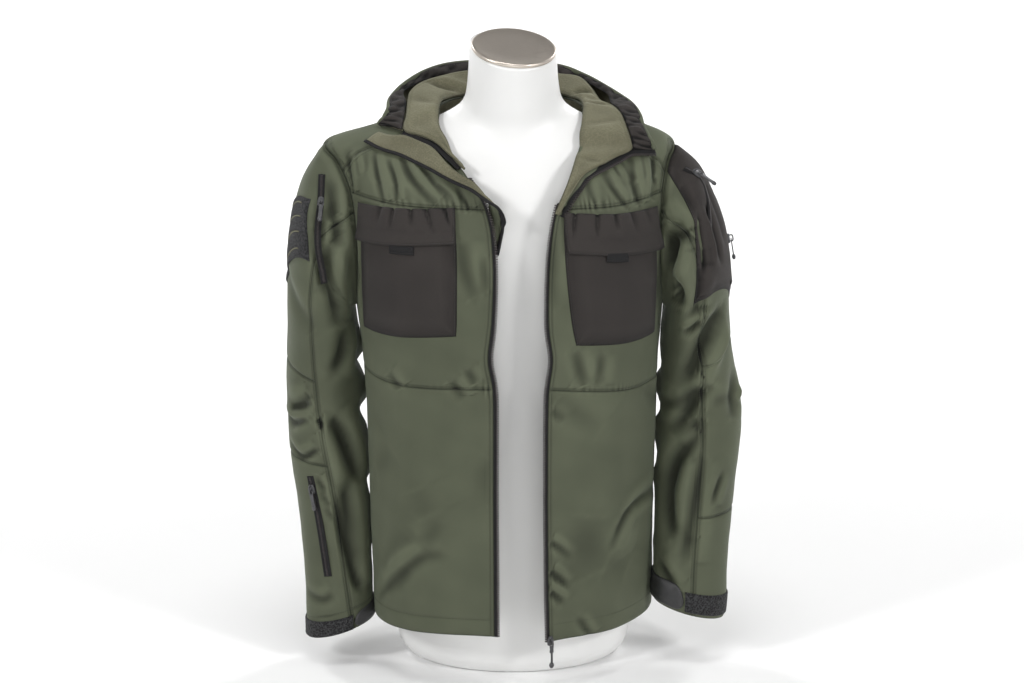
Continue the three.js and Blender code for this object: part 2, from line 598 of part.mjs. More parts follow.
// A patch on a surface: four corners in the surface's own two parameters, and its lift off the cloth
function patch(name, material, onSurface, { corners, us = 4, vs = 4, lift, thick, swell = 0 }) {
  const [a, b, c, d] = corners; // two at the start, two at the end, each from the low to the high side
  const place = (u, v, height) => {
    const at = (k) => mix(mix(a[k], b[k], u), mix(c[k], d[k], u), v);
    return onSurface(at(0), at(1), height);
  };
  const crown = (u, v) => lift + thick + swell * Math.sin(Math.PI * u) * Math.sin(Math.PI * v);
  addWall(name, material, { us: steps(0, 1, us), vs: steps(0, 1, vs), place, outer: crown, inner: lift });
}

// Chest pockets with their flaps and webbing tabs, each corner a turn and a height
const LIFT = 1.4; // clears the facets of the cloth below
const POCKETS = {
  right: {
    pocket: [[6.5, 653], [7.64, 661], [6.4, 486], [7.64, 497]],
    flap: [[6.5, 655], [7.66, 664], [6.44, 606], [7.63, 620]],
    tab: [[6.98, 615], [7.25, 615], [6.98, 605], [7.25, 605]],
  },
  left: {
    pocket: [[0.15, 656], [1.5, 647], [0.33, 484], [1.56, 478]],
    flap: [[0.13, 659], [1.52, 649], [0.23, 609], [1.62, 592]],
    tab: [[0.69, 607], [0.98, 604], [0.69, 597], [0.98, 594]],
  },
};
for (const [name, { pocket, flap, tab }] of Object.entries(POCKETS)) {
  const flapLift = LIFT + TRIM + 1;
  const tabLift = flapLift + TRIM + 1;
  patch(`${name}_chest_pocket`, CORDURA, onTorso, { corners: pocket, us: 8, vs: 8, lift: LIFT, thick: TRIM });
  const flapGrid = { corners: flap, us: 8, vs: 3 };
  patch(`${name}_pocket_flap`, CORDURA, onTorso, { ...flapGrid, lift: flapLift, thick: TRIM });
  patch(`${name}_flap_tab`, CORDURA, onTorso, { corners: tab, us: 2, vs: 2, lift: tabLift, thick: TRIM });
}

// Cuffs, each corner an angle and a station: the hook-and-loop band and the tab that closes over it
const onLeftArm = (angle, station, height) => onSleeve(1, angle, station, height);
const onRightArm = (angle, station, height) => onSleeve(-1, angle, station, height);
patch('right_cuff_band', LOOP_BLACK, onRightArm, {
  corners: [[-60, 10.05], [116, 10.15], [-60, 10.98], [116, 10.98]], us: 10, vs: 2, lift: LIFT, thick: TRIM,
});
patch('right_cuff_tab', RUBBER, onRightArm, {
  corners: [[118, 10.1], [215, 9.9], [118, 10.95], [215, 10.95]], us: 6, vs: 1, lift: LIFT, thick: TRIM + 0.8,
});
patch('left_cuff_band', LOOP_BLACK, onLeftArm, {
  corners: [[-50, 9.95], [99, 9.85], [-50, 10.85], [99, 10.85]], us: 9, vs: 2, lift: LIFT, thick: TRIM,
});
patch('left_cuff_tab', RUBBER, onLeftArm, {
  corners: [[101, 9.7], [195, 9.6], [101, 10.85], [195, 10.85]], us: 6, vs: 1, lift: LIFT, thick: TRIM + 0.8,
});

// Upper arms: a ribbed loop patch on the right, a cargo pocket of heavier cloth on the left
patch('right_loop_patch', LOOP_BLACK, onRightArm, {
  corners: [[0, 2.25], [43, 1.0], [2, 4.05], [69, 2.45]], us: 4, vs: 6, lift: LIFT, thick: TRIM + 0.6,
});
patch('left_arm_pocket', CORDURA, onLeftArm, {
  corners: [[-48, 0.25], [43, 0.25], [-52, 4.9], [93, 3.3]],
  us: 9,
  vs: 8,
  lift: LIFT + 0.6,
  thick: TRIM,
  swell: 2.5,
});

// Zips on the sleeves: each a tape along a line of angles and stations, with a slider and a hanging pull
const ZIPS = {
  right_arm: {
    side: -1,
    lift: LIFT,
    half: 4.5,
    line: [[33, 0.5], [58, 0.85], [78, 1.4], [94, 2.3]],
    slider: 0.75,
  },
  right_forearm: {
    side: -1,
    lift: 1,
    half: 5.5,
    line: [[61, 7.32], [65, 7.8], [70, 8.4], [75, 9.03]],
    slider: 0.45,
  },
  left_arm_front: {
    side: 1,
    lift: 5.4,
    half: 4,
    line: [[28, 0.6], [22, 1.2], [30, 1.8], [46, 2.3]],
    slider: 0.6,
  },
  left_arm_rear: {
    side: 1,
    lift: 5.4,
    half: 4,
    line: [[-8, 2.2], [0, 2.9], [4, 3.5], [8, 4.1]],
    slider: 1.6,
  },
};
const onZipLine = ({ side, line }, at, height) => {
  const place = curveAt(line.map(([angle, station]) => new THREE.Vector3(angle, station, 0)), at);
  return onSleeve(side, place.x, place.y, height);
};

// A frame on a zip: y runs back up the zip, z stands off the cloth
function zipFrame(zip, at) {
  const point = onZipLine(zip, at, zip.lift + TRIM + SLIDER_SEAT);
  const [above, below] = [at - 0.05, at + 0.05].map((near) => onZipLine(zip, near, zip.lift + TRIM));
  const up = above.sub(below).normalize();
  const out = onZipLine(zip, at, zip.lift + TRIM + 1 + SLIDER_SEAT).sub(point).normalize();
  const across = up.clone().cross(out).normalize();
  return new THREE.Matrix4().makeBasis(across, up, across.clone().cross(up)).setPosition(point);
}
function addZipTape(name, zip) {
  const place = (at, share, height) => {
    const point = onZipLine(zip, at, zip.lift + height);
    const across = new THREE.Vector3().setFromMatrixColumn(zipFrame(zip, at), 0);
    return point.addScaledVector(across, (share - 0.5) * 2 * zip.half);
  };
  const us = steps(0, zip.line.length - 1, 8);
  addWall(`${name}_zip_tape`, ZIP_BLACK, { us, vs: [0, 1], place, outer: TRIM, inner: 0 });
}

// Sizes of a slider and its pull
const SLIDER_SEAT = 0.6; // its gap to the tape
const SLIDER = {
  width: 9,
  length: 13,
  height: 3.2,
  archWidth: 2.6,
  archLength: 9.2,
  archHeight: 8,
  bar: 1.8,
};
const PIN = { y: -1.4, z: 4.7, radius: 0.9 };
const block = (x, y, z, w, l, h) => Manifold.cube([w, l, h], true).translate([x, y, z]);

function sliderSolid() {
  const { width, length, height, archWidth, archLength, archHeight, bar } = SLIDER;
  const body = block(0, 0, height / 2, width, length, height);
  const post = (y) => block(0, y, archHeight / 2, archWidth, 2, archHeight);
  const reach = archLength / 2 - 1;
  const roof = block(0, 0, archHeight - bar / 2, archWidth, archLength, bar);
  return Manifold.union([body, post(reach), post(-reach), roof]);
}

// The pull hangs from a pin through the slider's arch: two arms and a bar, then a moulded knob
function pullSolid({ bar, knob, cord = 0 }) {
  const arm = (x) => block(x, PIN.y - 3, PIN.z, 1.6, 7.6, 2 * PIN.radius);
  const pin = Manifold.cylinder(6.6, PIN.radius, PIN.radius, 8, true)
    .rotate([0, 90, 0])
    .translate([0, PIN.y, PIN.z]);
  const start = PIN.y - 5;
  const plate = block(0, start - bar / 2, PIN.z, 6.4, bar, 2 * PIN.radius);
  const pieces = [arm(2.6), arm(-2.6), pin, plate];
  const end = start - bar;
  if (cord) {
    pieces.push(Manifold.cylinder(cord + 2, 1.8, 1.8, 8).rotate([90, 0, 0]).translate([0, end + 1, PIN.z]));
  }
  pieces.push(Manifold.sphere(knob, 8).translate([0, end - cord - knob / 2, PIN.z]));
  return Manifold.union(pieces);
}

function geometryOf(solid) {
  const { numProp, vertProperties, triVerts } = solid.getMesh();
  const pointOf = (v) => Array.from(vertProperties.slice(v * numProp, v * numProp + 3));
  const positions = Array.from(triVerts, pointOf).flat();
  const geometry = new THREE.BufferGeometry();
  geometry.setAttribute('position', new THREE.Float32BufferAttribute(positions, 3));
  geometry.computeVertexNormals();
  return geometry;
}
function addSlider(names, frame, pull) {
  addPiece(names.slider, geometryOf(sliderSolid()).applyMatrix4(frame), ZIP_METAL);
  addPiece(names.pull, geometryOf(pullSolid(pull)).applyMatrix4(frame), ZIP_METAL);
}
for (const [name, zip] of Object.entries(ZIPS)) {
  addZipTape(name, zip);
  const names = { slider: `${name}_slider`, pull: `${name}_pull` };
  addSlider(names, zipFrame(zip, zip.slider), { bar: 18, knob: 3.2 });
}

// The front zip's slider waits at the hem of the left front, and its corded pull hangs straight down
const SLIDER_Z = 78;
const sliderPoint = onTorso(ZIP_SHARE, SLIDER_Z, SLIDER_SEAT);
const sliderOut = onTorso(ZIP_SHARE, SLIDER_Z, 1 + SLIDER_SEAT).sub(sliderPoint).setZ(0).normalize();
const upright = new THREE.Vector3(0, 0, 1);
const sliderFrame = new THREE.Matrix4()
  .makeBasis(upright.clone().cross(sliderOut), upright, sliderOut)
  .setPosition(sliderPoint);
addSlider({ slider: 'zip_slider', pull: 'zip_pull' }, sliderFrame, { bar: 9, knob: 3.4, cord: 17 });

// The dress form: sections by height, then its steel neck cap
const CAP = { x: 0.7, y: -14, z: 853, radius: 56, thick: 5, roll: 5.4, nod: 12.4 };
const FORM = [
  { z: 0, halfX: 146, front: -100, back: 102 },
  { z: 20, halfX: 158, front: -110, back: 112 },
  { z: 110, halfX: 166, front: -116, back: 120 },
  { z: 220, halfX: 160, front: -114, back: 116 },
  { z: 330, halfX: 145, front: -108, back: 98 },
  { z: 430, halfX: 146, front: -112, back: 94 },
  { z: 530, halfX: 158, front: -118, back: 102 },
  { z: 610, halfX: 170, front: -116, back: 108 },
  { z: 665, halfX: 180, front: -102, back: 104 },
  { z: 700, halfX: 185, front: -83, back: 92 },
  { z: 720, halfX: 173, front: -73, back: 83, pinch: 0.3 },
  { z: 738, halfX: 137, front: -64, back: 72, pinch: 0.9 },
  { z: 750, halfX: 113, front: -60, back: 64, pinch: 1.2 },
  { z: 762, halfX: 87, front: -60, back: 56, pinch: 0.8 },
  { z: 775, halfX: 68, front: -62, back: 50, pinch: 0.2 },
  { z: 795, halfX: 61, front: -64, back: 44 },
  { z: CAP.z - CAP.thick - SEAM, halfX: 57, front: -71, back: 43 },
];
const FORM_SIDES = 28;
const TILT_FROM_Z = 795; // the neck's sections lean up to the cap's slant above this height

function capPlaneRise(x, y) {
  return -Math.tan(radians(CAP.roll)) * (x - CAP.x) + Math.tan(radians(CAP.nod)) * (y - CAP.y);
}
function formPoint(row, k) {
  const angle = (2 * Math.PI * k) / FORM_SIDES;
  const flat = Math.sin(angle) < 0 ? -row.front : row.back;
  const x = row.halfX * Math.cos(angle);
  const y = flat * Math.sin(angle) * Math.abs(Math.sin(angle)) ** (row.pinch ?? 0);
  const lean = clamp((row.z - TILT_FROM_Z) / (FORM.at(-1).z - TILT_FROM_Z), 0, 1);
  return new THREE.Vector3(x, y, row.z + lean * capPlaneRise(x, y));
}
function addForm() {
  const rings = FORM.map((row) => Array.from({ length: FORM_SIDES }, (_, k) => formPoint(row, k)));
  const points = rings.flat();
  const faces = [];
  const at = (i, k) => i * FORM_SIDES + (k % FORM_SIDES);
  for (let i = 0; i < rings.length - 1; i++) {
    for (let k = 0; k < FORM_SIDES; k++) {
      faces.push(at(i, k), at(i, k + 1), at(i + 1, k + 1), at(i, k), at(i + 1, k + 1), at(i + 1, k));
    }
  }
  const middle = (ring) => ring.reduce((sum, p) => sum.add(p), new THREE.Vector3()).divideScalar(ring.length);
  const [low, high] = [points.length, points.length + 1];
  points.push(middle(rings[0]), middle(rings.at(-1)));
  for (let k = 0; k < FORM_SIDES; k++) {
    faces.push(low, at(0, k + 1), at(0, k), high, at(rings.length - 1, k), at(rings.length - 1, k + 1));
  }
  addPiece('form_body', closedGeometry(points.flatMap((p) => [p.x, p.y, p.z]), faces), FORM_WHITE);
}
addForm();

const capProfile = [[0, 0], [1, 0], [1, 0.55], [0.965, 1], [0, 1]].map(
  ([r, h]) => new THREE.Vector2(r * CAP.radius, h * CAP.thick),
);
const capGeometry = new THREE.LatheGeometry(capProfile, 28);
capGeometry.rotateX(Math.PI / 2);
capGeometry.rotateX(radians(CAP.nod));
capGeometry.rotateY(radians(CAP.roll));
capGeometry.translate(CAP.x, CAP.y, CAP.z - CAP.thick);
addPiece('form_cap', capGeometry, STEEL);

export default jacket;
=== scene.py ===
"""Looks of a softshell jacket worn open on a limbless dress form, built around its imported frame.

Left and right are the wearer's. The front faces -Y, and the wearer's left is at +X.
"""
import math

import bpy
import numpy as np
from mathutils import Matrix


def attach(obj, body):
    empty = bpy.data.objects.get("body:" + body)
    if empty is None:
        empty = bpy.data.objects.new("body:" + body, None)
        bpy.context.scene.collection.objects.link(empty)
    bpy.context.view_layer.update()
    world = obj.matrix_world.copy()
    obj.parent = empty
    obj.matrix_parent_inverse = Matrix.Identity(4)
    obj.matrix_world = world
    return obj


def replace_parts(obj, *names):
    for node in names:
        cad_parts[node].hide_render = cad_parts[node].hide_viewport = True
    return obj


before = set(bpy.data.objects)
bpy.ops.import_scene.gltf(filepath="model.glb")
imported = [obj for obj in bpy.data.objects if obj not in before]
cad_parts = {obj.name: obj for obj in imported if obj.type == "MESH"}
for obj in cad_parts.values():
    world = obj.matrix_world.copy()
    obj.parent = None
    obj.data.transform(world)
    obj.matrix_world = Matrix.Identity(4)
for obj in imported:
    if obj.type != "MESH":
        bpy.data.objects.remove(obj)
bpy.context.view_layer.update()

MM = 0.001
CLOTH = 2 * MM  # thickness of the shell
TRIM = 1.2 * MM  # thickness of tapes and pockets
HEM_Z = 76 * MM
MID_SEAM_Z = 424 * MM
ARMPIT_Z = 505 * MM
SHOULDER_Z = 716 * MM
NECKLINE_Z = 766 * MM
LEFT_SIDE_DROP = 18 * MM  # the left middle seam dips at the side
LEFT_HEM_DROP = 8 * MM
RIGHT_SIDE_DROP = 7 * MM
CHEST_SEAM_ANGLE = 60  # degrees down the armhole from its top, where each seam meets it
SHOULDER_SEAM_ANGLE = 45
BACK_YOKE_ANGLE = 75
ARMHOLE_FRONT = 0.36  # how far the armhole bows forward from the side, in turns
ARMHOLE_BACK = 0.3
TURN = 8  # turns round the body: 0 the left front edge, 2 the left side, 4 the spine, 8 the right front edge
SMALL = 1e-3  # step for differences in a surface's two parameters
SIDES = {"left": 1, "right": -1}

# Finer form of the cloth, on top of the frame's sections
RISE = 1.2 * MM  # how far a panel stands above its seams
ROLL = 2.2 * MM  # how fast it rolls down to them
STITCH_DENT = 0.7 * MM
STITCH_DENT_WIDTH = 1.1 * MM
EDGE_STITCH = 4.5 * MM  # how far in from its edge each kind of seam is stitched
SEAM_STITCH = 3 * MM
TRIM_STITCH = 2.5 * MM
STITCH = {"pitch": 3.4 * MM, "length": 2.6 * MM, "width": 0.75 * MM}


# Tables in millimetres, one row a section

def table(columns, *rows):
    """Named columns of a short table, in metres."""
    return dict(zip(columns.split(), MM * np.array(rows, float).T))


# The body: where its curve passes the front edge, the front, the side, the back and the spine at a height
SECTION = "z edge_x edge_y front_x front_y side_x side_y back_x back_y spine_y"
LEVELS = {
    1: table(
        SECTION,
        (76, 45, -155, 140, -104, 190, -8, 130, 98, 130),
        (250, 42, -155, 144, -114, 191, -10, 134, 96, 124),
        (424, 42, -151, 150, -122, 194, -12, 140, 96, 121),
        (505, 42, -150, 150, -125, 199, -14, 146, 97, 124),
        (600, 45, -147, 148, -121, 205, -12, 156, 94, 129),
        (663, 54, -132, 142, -106, 208, -4, 162, 86, 126),
        (700, 71, -107, 138, -77, 211, 6, 164, 74, 118),
        (716, 79, -90, 134, -60, 211, 9, 160, 66, 112),
        (740, 90, -42, 122, -30, 168, 10, 128, 50, 98),
        (766, 94, 4, 93, 12, 90, 26, 68, 62, 84),
    ),
    -1: table(
        SECTION,
        (76, 20, -155, 148, -128, 189, -28, 132, 96, 130),
        (250, 21, -155, 149, -130, 193, -24, 135, 95, 124),
        (424, 21, -152, 151, -129, 199, -20, 140, 95, 121),
        (505, 23, -151, 153, -130, 208, -20, 146, 96, 124),
        (600, 22, -146, 155, -124, 216, -16, 158, 94, 129),
        (663, 32, -132, 152, -106, 226, -6, 168, 86, 126),
        (700, 58, -98, 148, -77, 242, 6, 176, 74, 118),
        (716, 74, -80, 144, -60, 248, 9, 176, 66, 112),
        (740, 94, -42, 128, -30, 176, 10, 132, 50, 98),
        (766, 99, 4, 98, 12, 94, 26, 69, 62, 84),
    ),
}
# The sleeves: slanted ovals from near the armhole down to the cuff
SLEEVE_SECTION = "outer_x outer_z inner_x inner_z middle_y depth"
SLEEVE = {
    1: table(
        SLEEVE_SECTION,
        (240, 688, 204, 496, -3, 80),
        (259, 652, 203, 484, -3, 84),
        (276, 604, 201, 466, -3, 84),
        (286, 535, 199, 438, 0, 80),
        (293, 450, 197, 400, 4, 74),
        (305, 375, 196, 352, 4, 68),
        (309, 318, 195, 300, -2, 64),
        (301, 232, 194, 228, -14, 57),
        (293, 150, 193.5, 160, -28, 48),
        (291, 92, 193, 112, -36, 42),
        (289, 62, 193, 88, -38, 40),
    ),
    -1: table(
        SLEEVE_SECTION,
        (273, 682, 213, 496, -3, 82),
        (287, 648, 212, 484, -3, 86),
        (297, 600, 210, 466, -3, 86),
        (302, 530, 206, 438, 0, 80),
        (303, 450, 202, 400, 3, 74),
        (306, 372, 200, 350, 2, 68),
        (302, 300, 198, 290, -6, 62),
        (291, 215, 195.5, 215, -18, 55),
        (284, 130, 194, 142, -32, 46),
        (282, 64, 193, 88, -40, 40),
        (281, 34, 193, 62, -42, 38),
    ),
}
SLEEVE_END = 11
# The front edges bow away from each other at the middle seam
EDGE_BOW = {"z": 465 * MM, "reach": 30 * MM, "shift": 6 * MM}


# Curves and surfaces

def hermite(a, b, slope_a, slope_b, t):
    """Cubic from a to b, leaving and arriving with the given slopes."""
    return (
        (2 * t**3 - 3 * t**2 + 1) * a + (t**3 - 2 * t**2 + t) * slope_a
        + (3 * t**2 - 2 * t**3) * b + (t**3 - t**2) * slope_b
    )


def column(rows, key, name, at):
    """Smooth value of a table's column at a key, going on straight past both ends."""
    keys, values = rows[key], rows[name]
    last = len(keys) - 1
    low, high = np.maximum(np.arange(last + 1) - 1, 0), np.minimum(np.arange(last + 1) + 1, last)
    slopes = (values[high] - values[low]) / (keys[high] - keys[low])
    i = np.clip(np.searchsorted(keys, at, side="right") - 1, 0, last - 1)
    step = keys[i + 1] - keys[i]
    inside = np.clip((at - keys[i]) / step, 0, 1)
    value = hermite(values[i], values[i + 1], slopes[i] * step, slopes[i + 1] * step, inside)
    before, after = np.minimum(at - keys[0], 0), np.maximum(at - keys[-1], 0)
    return value + slopes[0] * before + slopes[-1] * after


def curve(points, at):
    """Smooth curve through a list of points, at a fractional index; each point may be a whole array."""
    points = np.stack(np.broadcast_arrays(*points))
    padded = np.concatenate([[2 * points[0] - points[1]], points, [2 * points[-1] - points[-2]]])
    i = np.clip(np.floor(at).astype(int), 0, len(points) - 2)
    t = (at - i)[..., None]

    def near(k):
        index = np.broadcast_to((i + k)[None, ..., None], (1,) + padded.shape[1:])
        return np.take_along_axis(padded, index, 0)[0]

    before, a, b, after = near(0), near(1), near(2), near(3)
    return hermite(a, b, (b - before) / 2, (after - a) / 2, t)


def path(points, at):
    """Smooth curve through plain points, at an array of fractional indices."""
    shape = np.shape(at) + (3,)
    return curve([np.broadcast_to(np.asarray(p, float), shape) for p in points], np.asarray(at, float))


def unit(vectors):
    """The same directions at length 1."""
    return vectors / np.maximum(np.linalg.norm(vectors, axis=-1, keepdims=True), 1e-12)


def blend(a, b, share):
    """The straight way from a to b."""
    return a + (b - a) * share


def soft_step(x):
    """A cubic that rises from 0 to 1 and is level at both ends."""
    x = np.clip(x, 0, 1)
    return x * x * (3 - 2 * x)


def torso(turn, z):
    """The jacket's body: at each height, a smooth curve from the front edge through its turns to the spine."""
    turn, z = np.broadcast_arrays(np.asarray(turn, float), np.asarray(z, float))
    out = np.zeros(turn.shape + (3,))
    for way, side in ((1, turn <= TURN / 2), (-1, turn > TURN / 2)):
        if not side.any():
            continue
        height = z[side]
        start = turn[side] if way > 0 else TURN - turn[side]
        value = {name: column(LEVELS[way], "z", name, height) for name in SECTION.split()[1:]}
        bow = np.exp(-(((height - EDGE_BOW["z"]) / EDGE_BOW["reach"]) ** 2))
        edge_x = value["edge_x"] + EDGE_BOW["shift"] * bow
        none = np.zeros_like(height)
        corners = [
            np.stack(pair + (none,), -1)
            for pair in (
                (edge_x, value["edge_y"]),
                (value["front_x"], value["front_y"]),
                (value["side_x"], value["side_y"]),
                (value["back_x"], value["back_y"]),
                (none, value["spine_y"]),
                (-value["back_x"], value["back_y"]),
            )
        ]
        flat = curve(corners, np.maximum(start, 0))
        # Before the front edge the curve goes on straight
        straight = corners[0] + (curve(corners, np.full_like(start, 0.01)) - corners[0]) * (start * 100)[:, None]
        flat = np.where((start < 0)[:, None], straight, flat)
        out[side] = np.stack([way * flat[:, 0], flat[:, 1], height], -1)
    return out


def level_height(turn, level):
    """Height of a level line at a turn: the hem and the left middle seam run a little uneven."""
    left = turn < TURN / 2
    start = np.where(left, turn, TURN - turn)
    near_side = np.clip(1 - np.abs(start - 2), 0, 1)
    near_hem = np.clip((MID_SEAM_Z - level) / (MID_SEAM_Z - HEM_Z), 0, 1)
    near_middle = np.clip(1 - np.abs(level - MID_SEAM_Z) / (ARMPIT_Z - MID_SEAM_Z), 0, 1)
    side_drop = LEFT_SIDE_DROP * np.clip(start / 2, 0, 1) * np.clip(3 - start, 0, 1)
    left_drop = LEFT_HEM_DROP * soft_step((TURN / 2 - start) / 1.4)
    return np.where(
        left, level - left_drop * near_hem - side_drop * near_middle,
        level - RIGHT_SIDE_DROP * near_side * near_hem,
    )


def armhole_height(angle):
    """The armhole's height at an angle from its top: a cosine between armpit and shoulder."""
    return blend(ARMPIT_Z, SHOULDER_Z, (1 + np.cos(np.radians(angle))) / 2)


def armhole_angle(z):
    """The armhole's angle from its top at a height, 180 at the armpit."""
    return np.degrees(np.arccos(np.clip(2 * (z - ARMPIT_Z) / (SHOULDER_Z - ARMPIT_Z) - 1, -1, 1)))


def armhole_turn(way, angle):
    """The armhole's turn at an angle from its top: a sine that bows forward and back from the side."""
    reach = np.where(np.asarray(angle) >= 0, ARMHOLE_FRONT, ARMHOLE_BACK)
    start = 2 - reach * np.sin(np.radians(angle))
    return start if way > 0 else TURN - start


def armhole(way, angle):
    """Points of the armhole seam on the body."""
    return torso(armhole_turn(way, angle), armhole_height(angle))


def sleeve(way):
    """A sleeve by an angle round it (0 outer, 90 front) and a station from the armhole to the cuff."""
    rows = SLEEVE[way]

    def surface(angle, station):
        angle, station = np.broadcast_arrays(np.asarray(angle, float), np.asarray(station, float))
        share, sine = (1 + np.cos(np.radians(angle))) / 2, np.sin(np.radians(angle))
        rings = [armhole(way, np.where(angle > 180, angle - 360, angle))]
        for k in range(len(rows["depth"])):
            x = blend(rows["inner_x"][k], rows["outer_x"][k], share)
            z = blend(rows["inner_z"][k], rows["outer_z"][k], share)
            rings.append(np.stack([way * x, rows["middle_y"][k] - rows["depth"][k] * sine, z], -1))
        return curve(rings, station)

    return surface


def standing(surface, a, b, way=1):
    """A surface's points and outward unit normals, from differences over a small step."""
    across = surface(a + SMALL, b) - surface(a - SMALL, b)
    along = surface(a, b + SMALL) - surface(a, b - SMALL)
    return surface(a, b), way * unit(np.cross(across, along))


CHEST_SEAM_Z = armhole_height(CHEST_SEAM_ANGLE)
SHOULDER_SEAM_Z = armhole_height(SHOULDER_SEAM_ANGLE)
BACK_YOKE_Z = armhole_height(BACK_YOKE_ANGLE)


def shoulder_seam_turn(z):
    """The shoulder seam's turn: straight from the armhole to the neckline."""
    share = (z - SHOULDER_SEAM_Z) / (NECKLINE_Z - SHOULDER_SEAM_Z)
    return blend(2 - ARMHOLE_FRONT * math.sin(math.radians(SHOULDER_SEAM_ANGLE)), 0.9, share)


# Creases: soft troughs (negative) and ridges (positive), each along a bent line in its surface's two parameters,
# with its depth and width in millimetres

TORSO_CREASES = [
    # wearer's left front
    (((1.92, 240), (1.30, 243), (1.02, 222), (0.86, 192)), -2.8, 7),
    (((1.90, 262), (1.35, 262), (1.05, 244)), 1.3, 11),
    (((0.60, 240), (0.55, 200), (0.64, 158)), -3.2, 26),
    (((0.80, 168), (1.15, 150)), -1.6, 20),
    (((0.06, 210), (0.16, 203), (0.32, 185)), -1.8, 6),
    (((0.06, 168), (0.13, 162), (0.26, 146)), -2.6, 6),
    (((0.06, 150), (0.13, 146), (0.24, 134)), 1.2, 6),
    (((0.06, 138), (0.13, 133), (0.22, 121)), -2.2, 6),
    (((0.42, 96), (0.60, 66)), -1.6, 6),
    (((0.13, 407), (0.35, 387), (0.64, 363)), -1.3, 15),
    (((0.08, 395), (0.22, 380)), -1.2, 7),
    (((0.30, 476), (0.36, 452), (0.44, 428)), -2.0, 9),
    (((0.62, 470), (0.59, 430)), -1.4, 8),
    (((1.35, 404), (1.62, 382), (1.85, 372)), -1.5, 13),
    (((0.58, 716), (0.80, 690), (1.09, 658)), -1.7, 6),
    (((1.16, 722), (1.20, 690), (1.27, 658)), -3.0, 7),
    (((0.97, 718), (1.14, 700), (1.26, 684)), -1.4, 4.5),
    (((1.40, 712), (1.42, 690), (1.40, 662)), 1.6, 6),
    (((1.50, 706), (1.53, 676)), -1.6, 4.5),
    (((0.36, 698), (0.56, 668)), -0.9, 6),
    (((0.84, 712), (1.00, 694)), -0.8, 4),
    (((1.60, 640), (1.66, 600), (1.70, 552)), -2.2, 11),
    (((0.07, 640), (0.06, 590), (0.09, 540)), -1.2, 9),
    # wearer's right front
    (((6.72, 126), (6.93, 142), (7.13, 170), (7.30, 186), (7.48, 190)), -2.1, 9),
    (((6.80, 158), (7.02, 184), (7.26, 204)), 1.5, 11),
    (((6.49, 102), (6.85, 144), (7.06, 168)), -1.8, 8),
    (((7.24, 196), (7.35, 214), (7.42, 240)), -1.3, 12),
    (((6.53, 289), (6.87, 329)), -1.2, 17),
    (((7.20, 280), (7.34, 246)), -1.2, 18),
    (((6.44, 716), (6.39, 694), (6.37, 664)), -2.2, 5.5),
    (((6.56, 714), (6.57, 690)), 1.0, 5),
    (((6.69, 716), (6.74, 692), (6.84, 662)), -1.9, 5),
    (((6.86, 708), (6.96, 690), (7.02, 668)), -1.6, 4.5),
    (((6.99, 716), (7.18, 694), (7.46, 668)), -2.4, 6),
    (((7.12, 712), (7.30, 692)), 0.9, 5),
    (((7.28, 716), (7.44, 694), (7.64, 670)), -1.6, 5),
    (((7.74, 686), (7.80, 662)), -1.4, 4.5),
    (((7.52, 690), (7.66, 676)), -0.8, 4),
    (((7.68, 622), (7.70, 586), (7.80, 550)), -2.6, 11),
    (((7.86, 604), (7.90, 556)), -1.4, 8),
    (((7.58, 436), (7.68, 410)), -1.5, 7),
    (((7.74, 452), (7.80, 432)), -1.2, 7),
    (((6.86, 438), (7.02, 418)), -1.3, 8),
    (((6.22, 640), (6.20, 580), (6.16, 530)), -2.4, 10),
    (((6.36, 636), (6.34, 560), (6.30, 470)), 1.6, 11),
    (((7.92, 330), (7.86, 300), (7.90, 262)), -0.9, 12),
    # sides and back
    (((2.10, 420), (2.50, 404), (2.95, 412)), -3.2, 15),
    (((2.05, 360), (2.45, 352), (2.80, 366)), -2.4, 12),
    (((2.30, 250), (2.75, 292), (3.10, 300)), -2.6, 16),
    (((2.15, 190), (2.55, 168), (2.95, 176)), -1.8, 12),
    (((3.25, 470), (3.60, 446), (4.05, 450)), -3.0, 18),
    (((4.15, 410), (4.60, 392), (5.05, 402)), -3.4, 16),
    (((3.35, 330), (3.80, 312), (4.20, 322)), -2.0, 20),
    (((4.55, 300), (4.95, 318), (5.30, 306)), -2.2, 15),
    (((5.20, 420), (5.55, 404), (5.92, 414)), -3.2, 14),
    (((5.35, 352), (5.70, 340), (5.95, 350)), -2.2, 12),
    (((5.15, 200), (5.60, 172), (5.90, 182)), -2.0, 13),
    (((4.30, 196), (4.42, 140), (4.38, 92)), -1.8, 14),
    (((3.40, 180), (3.34, 130), (3.42, 90)), -1.6, 14),
    (((2.62, 640), (2.80, 580), (2.86, 500)), -3.2, 14),
    (((2.35, 590), (2.55, 540), (2.70, 470)), -2.4, 11),
    (((5.38, 640), (5.22, 580), (5.14, 500)), -3.2, 14),
    (((5.66, 590), (5.46, 536), (5.34, 476)), -2.4, 11),
    (((3.30, 560), (3.42, 524), (3.36, 486)), 1.6, 16),
    (((4.70, 560), (4.62, 524), (4.70, 480)), 1.6, 16),
    (((2.50, 700), (2.90, 672), (3.20, 668)), -2.0, 11),
    (((5.50, 700), (5.10, 672), (4.80, 668)), -2.0, 11),
]
